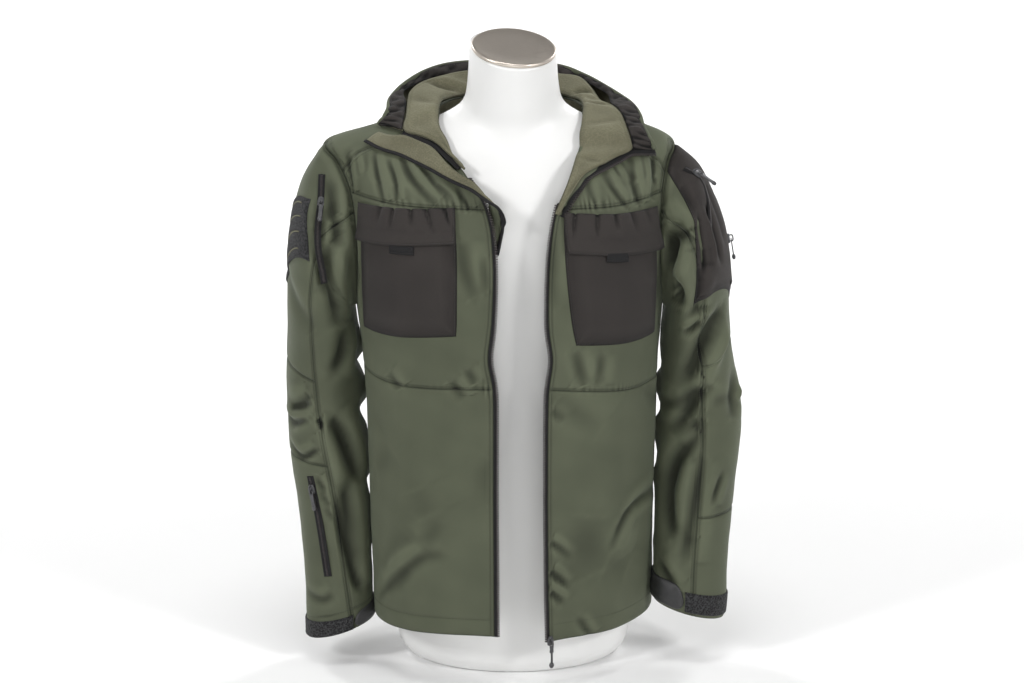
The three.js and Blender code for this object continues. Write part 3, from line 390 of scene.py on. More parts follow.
SLEEVE_CREASES = {
    1: [
        (((86, 0.25), (92, 0.40), (106, 0.70)), -3.4, 10),
        (((112, 0.25), (88, 0.55), (70, 1.10)), -4.6, 13),
        (((60, 0.30), (64, 0.8), (66, 1.3)), 2.4, 11),
        (((120, 1.1), (113, 1.8), (116, 2.6)), -7.0, 12),
        (((84, 1.3), (96, 2.2), (106, 3.2)), 4.6, 12),
        (((78, 2.4), (86, 3.0), (92, 3.7)), -3.6, 9),
        (((108, 3.86), (94, 3.92), (80, 3.98)), -3.4, 5),
        (((36, 4.30), (62, 4.42), (90, 4.80), (122, 5.40)), -6.5, 14),
        (((26, 4.72), (58, 4.86), (84, 5.14)), 2.4, 10),
        (((150, 5.82), (112, 5.62), (88, 5.38)), -3.6, 11),
        (((134, 6.50), (98, 5.75), (70, 5.42)), -4.4, 11),
        (((138, 7.60), (106, 6.76), (94, 6.15)), -4.0, 12),
        (((26, 5.50), (33, 5.98), (38, 6.50)), -2.4, 13),
        (((14, 5.86), (24, 6.12)), 2.4, 7),
        (((72, 5.82), (34, 5.95)), -0.9, 9),
        (((116, 6.86), (96, 6.46)), 2.6, 9),
        (((127, 7.07), (136, 7.92), (122, 8.65)), -5.0, 13),
        (((90, 7.17), (98, 8.22), (103, 9.02)), -3.2, 11),
        (((55, 7.50), (68, 7.95)), -1.8, 6),
        (((150, 9.22), (115, 9.80)), -2.4, 8),
        (((170, 4.6), (205, 4.9), (240, 4.7)), -4.4, 13),
        (((165, 5.9), (205, 6.2), (250, 5.8)), -4.8, 13),
        (((175, 7.2), (215, 7.5), (255, 7.1)), -3.6, 12),
        (((190, 8.6), (225, 8.9), (260, 8.6)), -2.6, 10),
        (((-80, 5.1), (-50, 5.5), (-20, 5.4)), -3.6, 11),
        (((-75, 6.5), (-45, 6.2), (-15, 6.35)), -3.0, 10),
        (((-70, 8.0), (-40, 8.3), (-10, 8.2)), -2.2, 10),
        (((250, 1.2), (262, 2.4), (268, 3.6)), -4.6, 13),
        (((-60, 5.0), (-66, 4.2), (-70, 3.2)), -3.0, 12),
    ],
    -1: [
        (((78, 0.45), (98, 1.2), (112, 2.2), (121, 3.3)), -5.6, 11),
        (((60, 0.60), (80, 1.5), (97, 2.6)), -3.6, 9),
        (((92, 0.5), (108, 1.0), (124, 1.8)), 2.6, 9),
        (((44, 0.35), (66, 0.5), (90, 0.55)), -2.6, 8),
        (((130, 3.2), (124, 4.2), (104, 5.0)), -3.4, 12),
        (((28, 6.04), (50, 5.90), (70, 5.72)), -2.4, 8),
        (((30, 6.16), (48, 6.04), (68, 5.88)), -3.0, 6),
        (((34, 6.34), (52, 6.24), (68, 6.10)), 1.4, 6),
        (((5, 6.45), (28, 6.47), (46, 6.34), (64, 6.16)), -3.0, 7),
        (((98, 6.05), (119, 6.55), (139, 7.40)), -4.8, 11),
        (((84, 6.4), (100, 7.0), (112, 7.6)), 2.0, 10),
        (((80, 6.12), (87, 6.32)), -1.8, 5),
        (((18, 6.90), (49, 7.02), (78, 6.80)), -1.6, 6),
        (((96, 7.67), (107, 8.40), (119, 8.86)), -3.4, 9),
        (((110, 7.35), (119, 8.07), (127, 9.0)), -4.0, 11),
        (((114, 8.77), (133, 9.50)), -3.4, 9),
        (((70, 7.34), (82, 7.56)), -1.0, 5),
        (((74, 7.58), (86, 7.80)), -0.9, 5),
        (((78, 7.82), (90, 8.04)), -0.8, 5),
        (((20, 9.40), (60, 9.52), (84, 9.44)), -1.4, 7),
        (((0, 3.7), (40, 3.95), (80, 4.15)), -1.5, 13),
        (((150, 4.2), (190, 4.8), (235, 4.6)), -4.4, 13),
        (((155, 5.8), (200, 6.2), (250, 5.8)), -4.8, 13),
        (((165, 7.4), (210, 7.8), (255, 7.3)), -3.6, 12),
        (((180, 8.8), (220, 9.1), (258, 8.8)), -2.6, 10),
        (((-80, 5.3), (-50, 5.7), (-20, 5.7)), -3.6, 11),
        (((-75, 6.9), (-45, 6.5), (-15, 6.6)), -3.0, 10),
        (((-70, 8.4), (-40, 8.7), (-10, 8.6)), -2.2, 10),
        (((250, 1.2), (262, 2.4), (268, 3.6)), -4.6, 13),
        (((-58, 1.0), (-64, 2.2), (-66, 3.6)), -3.0, 12),
    ],
}


def crease_lines(surface, way, creases, strength, second=1.0):
    """Each crease as points on its surface with their normals: the bent line, smoothed into nine points."""
    lines = []
    for line, depth, width in creases:
        corners = np.array(line, float) * (1, second)
        at = np.linspace(0, len(corners) - 1, 9)
        flat = path(np.column_stack([corners, np.zeros(len(corners))]), at)
        points, normals = standing(surface, flat[:, 0], flat[:, 1], way)
        lines.append((points, normals, strength * depth * MM, width * MM))
    return lines


def crease_height(points, lines):
    """Sum of all creases. Across its line each is a bell curve with a smaller opposite swell on one side,
    and it fades towards its ends."""
    flat = points.reshape(-1, 3)
    total = np.zeros(len(flat))
    for line, normals, depth, width in lines:
        reach = 4.5 * width
        near = np.flatnonzero(
            np.all((flat > line.min(0) - reach) & (flat < line.max(0) + reach), axis=1)
        )
        if not len(near):
            continue
        p = flat[near]
        start, way = line[:-1], line[1:] - line[:-1]
        offset = p[:, None] - start
        share = np.clip((offset * way).sum(-1) / (way * way).sum(-1), 0, 1)
        apart = offset - share[..., None] * way
        distance = np.linalg.norm(apart, axis=-1)
        best = distance.argmin(1)
        pick = np.arange(len(p))
        d = distance[pick, best]
        side = np.sign((np.cross(way[best], apart[pick, best]) * normals[best]).sum(-1))
        run = (best + share[pick, best]) / (len(line) - 1)
        fade = 0.18 + 0.82 * np.sin(np.pi * np.clip(run, 0, 1)) ** 0.8
        fade = fade * np.where((run <= 0) | (run >= 1), np.exp(-((d / width) ** 2)), 1)
        swell = np.exp(-(((side * d - 1.9 * width) / (1.2 * width)) ** 2))
        across = np.exp(-((d / width) ** 2)) - 0.42 * swell
        total[near] += depth * fade * across
    return total.reshape(points.shape[:-1])


def ripples(x, z, size):
    """Slow uneven swells of the cloth, from a few crossing waves."""
    return size * (
        np.sin(31 * x + 17 * z + 1.3) * np.sin(11 * z - 6 * x + 0.4)
        + 0.6 * np.sin(53 * x - 29 * z + 2.1) * np.sin(23 * z + 0.7)
        + 0.35 * np.sin(97 * x + 61 * z) * np.sin(71 * z - 41 * x)
    )


def puckers(along, distance, size, reach):
    """Small gathers that stand square to a seam: uneven waves along it that die away from it."""
    wave = np.sin(along / (1.3 * MM) + 2.4 * np.sin(along / (8.3 * MM)) + 1.9 * np.sin(along / (21 * MM)))
    uneven = (0.55 + 0.45 * np.sin(along / (10.7 * MM) + 1)) * (0.7 + 0.3 * np.sin(along / (27 * MM)))
    return size * wave * uneven * np.exp(-((distance / reach) ** 2))


TORSO_STRENGTH = 2.0  # how much deeper than in their tables the creases are pressed
SLEEVE_STRENGTH = 2.6
torso_lines = crease_lines(torso, 1, TORSO_CREASES, TORSO_STRENGTH, MM)
sleeve_lines = {way: crease_lines(sleeve(way), way, SLEEVE_CREASES[way], SLEEVE_STRENGTH) for way in (1, -1)}
ARMHOLE_RING = {way: armhole(way, np.linspace(-180, 180, 73)) for way in (1, -1)}
ARMHOLE_FADE = 14 * MM


def off_armholes(points):
    """0 on an armhole seam, rising to 1 a little way from it."""
    rings = np.concatenate([ARMHOLE_RING[1], ARMHOLE_RING[-1]])
    flat = points.reshape(-1, 3)
    distance = np.full(len(flat), 1.0)
    for ring_point in rings:
        distance = np.minimum(distance, np.linalg.norm(flat - ring_point, axis=1))
    return soft_step((distance - 2 * MM) / ARMHOLE_FADE).reshape(points.shape[:-1])


SHOULDER_FROM = 0.665  # metres up: the cloth lies closer to the form from here, over the next rise
SHOULDER_RISE = 0.04
NECK_FROM = 0.76
NECK_RISE = 0.02
BODY_TROUGH = 12 * MM  # the deepest that troughs go, on the body and on the shoulders
SHOULDER_TROUGH = 3.8 * MM
SHOULDER_LIFT = 2.4 * MM
HEAD = {"station": 0.16, "height": 2.2 * MM}  # the fuller head of each sleeve


def torso_cloth(turn, z):
    """Points, normals and relief of the jacket's body."""
    points, normals = standing(torso, turn, z)
    relief = crease_height(points, torso_lines) + ripples(points[..., 0], z, 0.8 * MM)
    along = points[..., 0] * 1.1 + points[..., 1] * 0.4
    relief = relief + puckers(along, z - CHEST_SEAM_Z - 4 * MM, 0.5 * MM, 7 * MM)
    relief = relief + puckers(along + 0.3, z - level_height(turn, MID_SEAM_Z), 0.3 * MM, 9 * MM)
    # The shoulders lie close on the form, so troughs are shallow there
    shoulder = soft_step((z - SHOULDER_FROM) / SHOULDER_RISE)
    deepest = blend(BODY_TROUGH, SHOULDER_TROUGH, shoulder)
    relief = np.where(relief < 0, -deepest * (1 - np.exp(np.minimum(relief, 0) / deepest)), relief)
    relief = relief + SHOULDER_LIFT * shoulder * soft_step((NECK_FROM - z) / NECK_RISE)
    return points, normals, relief * off_armholes(points)


def sleeve_cloth(way):
    """The cloth of one sleeve, as a function of angle and station."""
    surface = sleeve(way)

    def cloth(angle, station):
        """Points, normals and relief of a sleeve, with the fuller head behind its armhole seam."""
        points, normals = standing(surface, angle, station, way)
        relief = crease_height(points, sleeve_lines[way])
        relief = relief + ripples(points[..., 1] + 0.2 * way, points[..., 2], 0.9 * MM)
        head = HEAD["height"] * np.exp(-(((station - HEAD["station"]) / HEAD["station"]) ** 2))
        return points, normals, (relief + head) * off_armholes(points)

    return cloth


# Meshes

def new_piece(name, vertices, faces, looks, body, slot, uv=None, which=None, painted_fold_light=None):
    """A mesh object at the origin from arrays. uv is one pair a vertex, in metres along the cloth, and fold
    one number a vertex of painted shade and highlight: below 0 in troughs and seams, which are painted darker,
    and above 0 on ridges, which are painted lighter."""
    mesh = bpy.data.meshes.new(name)
    mesh.from_pydata(np.asarray(vertices, float).tolist(), [], [tuple(map(int, face)) for face in faces])
    for look in looks:
        mesh.materials.append(look)
    if which is not None:
        mesh.polygons.foreach_set("material_index", np.asarray(which, np.int32))
    mesh.polygons.foreach_set("use_smooth", np.full(len(mesh.polygons), True))
    if painted_fold_light is not None:
        mesh.attributes.new("painted_fold_light", "FLOAT", "POINT").data.foreach_set("value", np.asarray(painted_fold_light, np.float32))
    if uv is not None:
        corners = np.zeros(len(mesh.loops), np.int32)
        mesh.loops.foreach_get("vertex_index", corners)
        layer = mesh.uv_layers.new(name="cloth")
        layer.data.foreach_set("uv", np.asarray(uv, float)[corners].ravel())
    mesh.update()
    piece = bpy.data.objects.new(name, mesh)
    bpy.context.scene.collection.objects.link(piece)
    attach(piece, body)
    return piece


def run_lengths(points, axis):
    """Length run along each line of a grid, from its first point."""
    steps = np.linalg.norm(np.diff(points, axis=axis), axis=-1)
    start = np.zeros_like(np.take(steps, [0], axis))
    return np.concatenate([start, np.cumsum(steps, axis)], axis)


def grid_normals(points, like):
    """Unit normals of a grid of points, on the side of the given ones."""
    cross = unit(np.cross(np.gradient(points, axis=0), np.gradient(points, axis=1)))
    return cross * np.sign((cross * like).sum(-1, keepdims=True).mean())


def sharpness(relief, across, along):
    """How sharply the relief is hollowed (below 0) or ridged (above 0): second differences over both runs."""
    total = 0
    for axis, run in ((0, across), (1, along)):
        step = np.maximum(np.gradient(run, axis=axis), 0.2 * MM)
        total = total - np.gradient(np.gradient(relief, axis=axis) / step, axis=axis) / step
    return total


def edge_distances(points):
    """How far each point of a grid lies from its four edges, measured along the grid's lines."""
    across, along = run_lengths(points, 0), run_lengths(points, 1)
    return {"u0": across, "u1": across[-1:] - across, "v0": along, "v1": along[:, -1:] - along}


def spaced(length, coarse=4 * MM, fine=1.2 * MM, band=9 * MM):
    """Shares of a length from 0 to 1: close together near both ends, where seams and stitches run."""
    rim = np.arange(0, band, fine)
    middle = np.linspace(band, length - band, max(int((length - 2 * band) / coarse), 2) + 1)
    return np.concatenate([rim, middle, length - rim[::-1]]) / length


def wall_faces(columns, rows, flip):
    """Quads of a closed thin wall: outer grid, inner grid, then the four edges between them."""
    index = np.arange(2 * columns * rows).reshape(2, columns, rows)
    front, back = index

    def quads(a, b, c, d):
        """Faces from four blocks of corner numbers."""
        return np.stack([x.ravel() for x in (a, b, c, d)], 1)

    outer = quads(front[:-1, :-1], front[1:, :-1], front[1:, 1:], front[:-1, 1:])
    inner = quads(back[:-1, :-1], back[:-1, 1:], back[1:, 1:], back[1:, :-1])
    rims = np.concatenate([
        quads(front[:-1, 0], back[:-1, 0], back[1:, 0], front[1:, 0]),
        quads(front[:-1, -1], front[1:, -1], back[1:, -1], back[:-1, -1]),
        quads(front[0, :-1], front[0, 1:], back[0, 1:], back[0, :-1]),
        quads(front[-1, :-1], back[-1, :-1], back[-1, 1:], front[-1, 1:]),
    ])
    faces = np.concatenate([outer, inner, rims])
    which = np.concatenate([np.zeros(len(outer)), np.ones(len(inner)), np.zeros(len(rims))])
    return (faces[:, ::-1] if flip else faces), which


seams = []  # stitched lines: points, normals and thread
SHARPEST = 6 * MM  # the radius of bend that counts as fully creased, for the painted shade and highlight
DEEPEST_FOLD = 14 * MM  # the relief that counts as fully creased, for the painted shade and highlight
SEAM_SHADE = 1.3 * MM  # how far a seam's shade reaches, and that of a row of stitches
STITCH_SHADE = 0.8 * MM


def cloth_wall(name, cloth, us, vs, looks, slot, *, rise=RISE, roll=ROLL, thick=CLOTH, stitched=(), extra=None,
               held="stretched", rests_on=("form_body",), thread="green"):
    """A panel as a closed thin wall over a grid of its cloth. It rolls down at its edges, and is pressed in
    along its stitched lines. cloth gives points, normals and relief; extra adds to the relief."""
    u, v = np.meshgrid(us, vs, indexing="ij")
    points, normals, relief = cloth(u, v)
    distance = edge_distances(points)
    up = np.full(u.shape, float(rise))
    for edge in distance.values():
        up = up * (1 - np.exp(-((edge / roll) ** 2)))
    for edge, offset in stitched:
        up = up - STITCH_DENT * np.exp(-(((distance[edge] - offset) / STITCH_DENT_WIDTH) ** 2))
    if extra is not None:
        relief = relief + extra(u, v, distance)
    outer = points + normals * (up + relief)[..., None]
    facing = grid_normals(outer, normals)
    inner = outer - facing * thick
    across, along = run_lengths(outer, 0), run_lengths(outer, 1)
    uv = np.stack([across, along], -1).reshape(-1, 2)
    middle = tuple(n // 2 for n in u.shape)
    step = outer[middle[0] + 1, middle[1]] - outer[middle], outer[middle[0], middle[1] + 1] - outer[middle]
    flip = np.dot(np.cross(*step), facing[middle]) < 0
    faces, which = wall_faces(*u.shape, flip)
    # Painted shade for the finishes: seams, stitch dents and troughs painted darker, ridges painted lighter.
    seam = np.exp(-((np.minimum.reduce(list(distance.values())) / SEAM_SHADE) ** 2))
    for edge, offset in stitched:
        seam = np.maximum(seam, 0.6 * np.exp(-(((distance[edge] - offset) / STITCH_SHADE) ** 2)))
    bend = sharpness(relief, across, along) * SHARPEST
    painted_fold_light = (np.clip(relief / DEEPEST_FOLD + bend, -1, 1) - seam).ravel()
    piece = new_piece(
        name, np.concatenate([outer.reshape(-1, 3), inner.reshape(-1, 3)]), faces, looks, "root", slot,
        np.concatenate([uv, uv]), which if len(looks) > 1 else None, np.concatenate([painted_fold_light, painted_fold_light]),
    )
    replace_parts(piece, name)
    for edge, offset in stitched:
        seams.append(stitch_run(outer, facing, distance[edge], edge, offset) + (thread,))
    return outer, facing


def stitch_run(points, normals, distance, edge, offset):
    """The line at a distance from an edge of a grid, found along each of the grid's lines."""
    if edge[0] == "u":
        points, normals, distance = points.swapaxes(0, 1), normals.swapaxes(0, 1), distance.T
    if edge[1] == "1":
        points, normals, distance = points[:, ::-1], normals[:, ::-1], distance[:, ::-1]
    inside = distance[:, -1] > offset
    points, normals, distance = points[inside], normals[inside], distance[inside]
    k = np.clip((distance < offset).sum(1) - 1, 0, distance.shape[1] - 2)[:, None]
    low, high = (np.take_along_axis(distance, k + n, 1) for n in (0, 1))
    share = ((offset - low) / np.maximum(high - low, 1e-9))[..., None]
    line, stand = (
        blend(np.take_along_axis(a, k[..., None], 1), np.take_along_axis(a, k[..., None] + 1, 1), share)[:, 0]
        for a in (points, normals)
    )
    return line, unit(stand)


def resample(line, normals, pitch):
    """Points at an even pitch along a line, with their directions and normals."""
    run = np.concatenate([[0], np.cumsum(np.linalg.norm(np.diff(line, axis=0), axis=1))])
    at = np.arange(pitch / 2, run[-1], pitch)
    points = np.column_stack([np.interp(at, run, line[:, k]) for k in range(3)])
    stand = unit(np.column_stack([np.interp(at, run, normals[:, k]) for k in range(3)]))
    ahead = np.column_stack([np.interp(at + 0.2 * MM, run, line[:, k]) for k in range(3)])
    behind = np.column_stack([np.interp(at - 0.2 * MM, run, line[:, k]) for k in range(3)])
    return points, unit(ahead - behind), stand


def scatter(shape, faces, points, ways, normals):
    """Copies of a small shape: its x lies along each way, its z along each normal."""
    across = unit(np.cross(normals, ways))
    stand = unit(np.cross(ways, across))
    axes = np.stack([ways, across, stand], 1)
    vertices = points[:, None] + np.einsum("vk,nkc->nvc", shape, axes)
    steps = np.arange(len(points))[:, None, None] * len(shape)
    return vertices.reshape(-1, 3), (np.asarray(faces)[None] + steps).reshape(-1, len(faces[0]))


def superbox(half, power, around=16, up=9):
    """A box with rounded edges: a sphere's sines and cosines raised to a power and stretched to half sizes."""
    a, b = np.meshgrid(np.linspace(-np.pi, np.pi, around, endpoint=False), np.linspace(-np.pi / 2, np.pi / 2, up))

    def sharp(wave):
        """The wave's size raised to the power, with its sign kept."""
        return np.sign(wave) * np.abs(wave) ** power

    points = np.stack([
        half[0] * sharp(np.cos(b)) * sharp(np.cos(a)),
        half[1] * sharp(np.cos(b)) * sharp(np.sin(a)),
        half[2] * sharp(np.sin(b)),
    ], -1)
    index = np.arange(around * up).reshape(up, around)
    turned = np.roll(index, -1, 1)
    quads = np.stack([x.ravel() for x in (index[:-1], turned[:-1], turned[1:], index[1:])], 1)
    return points.reshape(-1, 3), quads


def ring_quads(rows, sides):
    """Quads between closed rings, one ring a row, and the corner numbers of the rings and of their next points."""
    index = np.arange(rows * sides).reshape(rows, sides)
    turned = np.roll(index, -1, 1)
    quads = np.stack([index[:-1], index[1:], turned[1:], turned[:-1]], -1).reshape(-1, 4).tolist()
    return [tuple(quad) for quad in quads], index, turned


def closed_rings(rows, sides):
    """Quads between closed rings, and a fan at each end to one of the two points that follow the rings."""
    faces, index, turned = ring_quads(rows, sides)
    first, last = rows * sides, rows * sides + 1
    faces += [(first, index[0, k], turned[0, k]) for k in range(sides)]
    faces += [(last, turned[-1, k], index[-1, k]) for k in range(sides)]
    return faces


def tube(line, radius, sides=10, flat=1.0, up=(0, 0, 1)):
    """A closed round or oval tube along a line of points; radius may change along it."""
    line = np.asarray(line, float)
    radius = np.broadcast_to(radius, (len(line),))
    way = unit(np.gradient(line, axis=0))
    side = unit(np.cross(way, np.broadcast_to(np.asarray(up, float), way.shape)))
    stand = unit(np.cross(side, way))
    angle = np.linspace(0, 2 * np.pi, sides, endpoint=False)
    ring = side[:, None] * np.cos(angle)[:, None] + stand[:, None] * np.sin(angle)[:, None] * flat
    points = line[:, None] + ring * radius[:, None, None]
    return np.concatenate([points.reshape(-1, 3), line[:1], line[-1:]]), closed_rings(len(line), sides)


def joined(parts):
    """Several vertex and face lists as one."""
    vertices, faces, start = [], [], 0
    for points, quads in parts:
        vertices.append(np.asarray(points))
        faces += [tuple(int(k) + start for k in quad) for quad in quads]
        start += len(points)
    return np.concatenate(vertices), faces


# Shader node groups that several finishes share

def node(tree, kind, **values):
    """A new node with its sockets or settings given by name."""
    made = tree.nodes.new(kind)
    for key, value in values.items():
        if key in made.inputs:
            made.inputs[key].default_value = value
        else:
            setattr(made, key, value)
    return made


def shader_group(name, inputs, outputs):
    """An empty node group with named float, colour or vector sockets."""
    tree = bpy.data.node_groups.new(name, "ShaderNodeTree")
    for label, kind in inputs:
        tree.interface.new_socket(label, in_out="INPUT", socket_type="NodeSocket" + kind)
    for label, kind in outputs:
        tree.interface.new_socket(label, in_out="OUTPUT", socket_type="NodeSocket" + kind)
    return tree, tree.nodes.new("NodeGroupInput"), tree.nodes.new("NodeGroupOutput")


def math_node(tree, operation, a, b=None):
    """The result of a sum on sockets or plain numbers."""
    made = tree.nodes.new("ShaderNodeMath")
    made.operation = operation
    for socket, value in zip(made.inputs, (a, b)):
        if value is None:
            continue
        if hasattr(value, "links"):
            tree.links.new(value, socket)
        else:
            socket.default_value = value
    return made.outputs[0]


def weave_group():
    """Plain or twill weave on the cloth's own UV: two crossed sine waves, one of them stepped by the twill."""
    tree, given, out = shader_group(
        "weave", [("Threads", "Float"), ("Twill", "Float"), ("Slub", "Float")],
        [("Height", "Float"), ("Shade", "Float")],
    )
    uv = node(tree, "ShaderNodeUVMap", uv_map="cloth")
    split = tree.nodes.new("ShaderNodeSeparateXYZ")
    tree.links.new(uv.outputs["UV"], split.inputs[0])
    x = math_node(tree, "MULTIPLY", split.outputs["X"], given.outputs["Threads"])
    y = math_node(tree, "MULTIPLY", split.outputs["Y"], given.outputs["Threads"])
    skew = math_node(tree, "ADD", x, math_node(tree, "MULTIPLY", y, given.outputs["Twill"]))
    warp, weft = math_node(tree, "SINE", skew), math_node(tree, "SINE", y)
    cross = math_node(tree, "MULTIPLY", warp, weft)
    slub = node(tree, "ShaderNodeTexNoise", Scale=240.0, Detail=3.0)
    stretch = node(tree, "ShaderNodeMapping", vector_type="POINT")
    stretch.inputs["Scale"].default_value = (1.0, 7.0, 1.0)
    tree.links.new(uv.outputs["UV"], stretch.inputs["Vector"])
    tree.links.new(stretch.outputs["Vector"], slub.inputs["Vector"])
    uneven = math_node(tree, "MULTIPLY", slub.outputs["Fac"], given.outputs["Slub"])
    tree.links.new(math_node(tree, "ADD", cross, uneven), out.inputs["Height"])
    shade = math_node(tree, "ADD", math_node(tree, "MULTIPLY", cross, 0.5), uneven)
    tree.links.new(shade, out.inputs["Shade"])
    return tree


def nap_group():
    """Short fibres: fine noise with clumps of a coarser one."""
    tree, given, out = shader_group("nap", [("Fineness", "Float")], [("Height", "Float"), ("Fleck", "Float")])
    where = tree.nodes.new("ShaderNodeTexCoord")
    fine = node(tree, "ShaderNodeTexNoise", Detail=4.0, Roughness=0.7)
    clumps = node(tree, "ShaderNodeTexVoronoi", feature="F1")
    for texture, scale in ((fine, 1.0), (clumps, 0.45)):
        tree.links.new(where.outputs["Object"], texture.inputs["Vector"])
        tree.links.new(math_node(tree, "MULTIPLY", given.outputs["Fineness"], scale), texture.inputs["Scale"])
    mixed = math_node(tree, "ADD", fine.outputs["Fac"], math_node(tree, "MULTIPLY", clumps.outputs["Distance"], 0.6))
    tree.links.new(mixed, out.inputs["Height"])
    tree.links.new(math_node(tree, "GREATER_THAN", fine.outputs["Fac"], 0.64), out.inputs["Fleck"])
    return tree


def variation_group():
    """Large soft patches, for the slight unevenness of dye and light wear."""
    tree, given, out = shader_group("variation", [("Patch", "Float")], [("Shade", "Float")])
    where = tree.nodes.new("ShaderNodeTexCoord")
    noise = node(tree, "ShaderNodeTexNoise", Detail=3.0, Roughness=0.55)
    tree.links.new(where.outputs["Object"], noise.inputs["Vector"])
    tree.links.new(given.outputs["Patch"], noise.inputs["Scale"])
    tree.links.new(noise.outputs["Fac"], out.inputs["Shade"])
    return tree


def painted_fold_light_group():
    """Painted shade and highlight: darker where the cloth is creased or sewn down, lighter along its ridges."""
    tree, given, out = shader_group("painted_fold_shading", [("Depth", "Float")], [("Shade", "Float")])
    painted_fold_light = node(tree, "ShaderNodeAttribute", attribute_name="painted_fold_light")
    dark = math_node(tree, "MULTIPLY", math_node(tree, "MINIMUM", painted_fold_light.outputs["Fac"], 0.4), given.outputs["Depth"])
    tree.links.new(math_node(tree, "ADD", dark, 1.0), out.inputs["Shade"])
    return tree


WEAVE, NAP, VARIATION, PAINTED_FOLD_LIGHT = weave_group(), nap_group(), variation_group(), painted_fold_light_group()


def placed(tree, shared, **values):
    """A shared node group in a finish, with its inputs set."""
    made = tree.nodes.new("ShaderNodeGroup")
    made.node_tree = shared
    for key, value in values.items():
        made.inputs[key].default_value = value
    return made


CLOTH_ROUGHNESS = 0.65  # finishes rougher than this are cloth, which hardly mirrors


def start_look(name, roughness, **sockets):
    """A new finish with its shader's constants set."""
    look = bpy.data.materials.new(name)
    look.use_nodes = True
    tree = look.node_tree
    shader = tree.nodes["Principled BSDF"]
    shader.inputs["Roughness"].default_value = roughness
    if roughness > CLOTH_ROUGHNESS:
        shader.inputs["Specular IOR Level"].default_value = 0.22
    for key, value in sockets.items():
        shader.inputs[key.replace("_", " ")].default_value = value
    return look, tree, shader


def mix_colours(tree, share, dark, light):
    """A colour between two, each plain or from a socket."""
    made = node(tree, "ShaderNodeMix", data_type="RGBA")
    tree.links.new(share, made.inputs["Factor"])
    for key, colour in (("A", dark), ("B", light)):
        socket = next(s for s in made.inputs if s.name == key and s.type == "RGBA")
        if hasattr(colour, "links"):
            tree.links.new(colour, socket)
        else:
            socket.default_value = (*colour, 1)
    return next(s for s in made.outputs if s.type == "RGBA")


def ranged(tree, value, low, high, to_low=0.0, to_high=1.0):
    """A value stretched from one range to another, and clipped to it."""
    made = node(tree, "ShaderNodeMapRange")
    tree.links.new(value, made.inputs["Value"])
    for key, number in (("From Min", low), ("From Max", high), ("To Min", to_low), ("To Max", to_high)):
        made.inputs[key].default_value = number
    return made.outputs["Result"]


def shade_painted_in_folds(tree, shader, colour, depth):
    """Links a colour to the shader: painted shade in folds and seams, a painted highlight on ridges."""
    scaled = node(tree, "ShaderNodeVectorMath", operation="SCALE")
    tree.links.new(colour, scaled.inputs[0])
    tree.links.new(placed(tree, PAINTED_FOLD_LIGHT, Depth=depth).outputs["Shade"], scaled.inputs["Scale"])
    tree.links.new(scaled.outputs[0], shader.inputs["Base Color"])


def bumped(tree, shader, height, distance, strength=1.0):
    """Links a height to the shader as a fine bump."""
    bump = node(tree, "ShaderNodeBump", Strength=strength, Distance=distance)
    tree.links.new(height, bump.inputs["Height"])
    tree.links.new(bump.outputs["Normal"], shader.inputs["Normal"])


def softshell_look(name, dark, light):
    """Smooth stretch weave: fine twill, slight patches of uneven dye, soft sheen, and painted shade in its folds."""
    look, tree, shader = start_look(name, 0.72, Sheen_Weight=0.16, Sheen_Roughness=0.4)
    shader.inputs["Sheen Tint"].default_value = (0.75, 0.85, 0.68, 1)
    weave = placed(tree, WEAVE, Threads=7200.0, Twill=0.5, Slub=0.9)
    patch = placed(tree, VARIATION, Patch=9.0)
    broad = mix_colours(tree, ranged(tree, patch.outputs["Shade"], 0.3, 0.7), dark, light)
    thread = ranged(tree, weave.outputs["Shade"], -0.3, 1.2, 0.0, 0.24)
    # Painted shade in creases and seams, and a painted highlight on ridges, scaled into the colour.
    shade_painted_in_folds(tree, shader, mix_colours(tree, thread, broad, tuple(1.5 * c for c in light)), 0.68)
    tree.links.new(ranged(tree, patch.outputs["Shade"], 0.3, 0.7, 0.66, 0.78), shader.inputs["Roughness"])
    bumped(tree, shader, weave.outputs["Height"], 0.00006, 0.5)
    return look


def fleece_look():
    """Short brushed pile with dark flecks between the fibres."""
    look, tree, shader = start_look("fleece", 0.95, Sheen_Weight=0.3, Sheen_Roughness=0.6)
    shader.inputs["Sheen Tint"].default_value = (0.8, 0.8, 0.6, 1)
    nap = placed(tree, NAP, Fineness=1150.0)
    patch = placed(tree, VARIATION, Patch=14.0)
    broad = mix_colours(
        tree, ranged(tree, patch.outputs["Shade"], 0.3, 0.7), (0.115, 0.108, 0.07), (0.16, 0.152, 0.1)
    )
    pile = mix_colours(tree, ranged(tree, nap.outputs["Height"], 0.35, 1.0), (0.07, 0.068, 0.04), broad)
    flecks = math_node(tree, "MULTIPLY", nap.outputs["Fleck"], 0.3)
    # Painted shade in creases and seams, and a painted highlight on ridges, scaled into the colour.
    shade_painted_in_folds(tree, shader, mix_colours(tree, flecks, pile, (0.06, 0.058, 0.03)), 0.3)
    bumped(tree, shader, nap.outputs["Height"], 0.0006, 0.9)
    return look


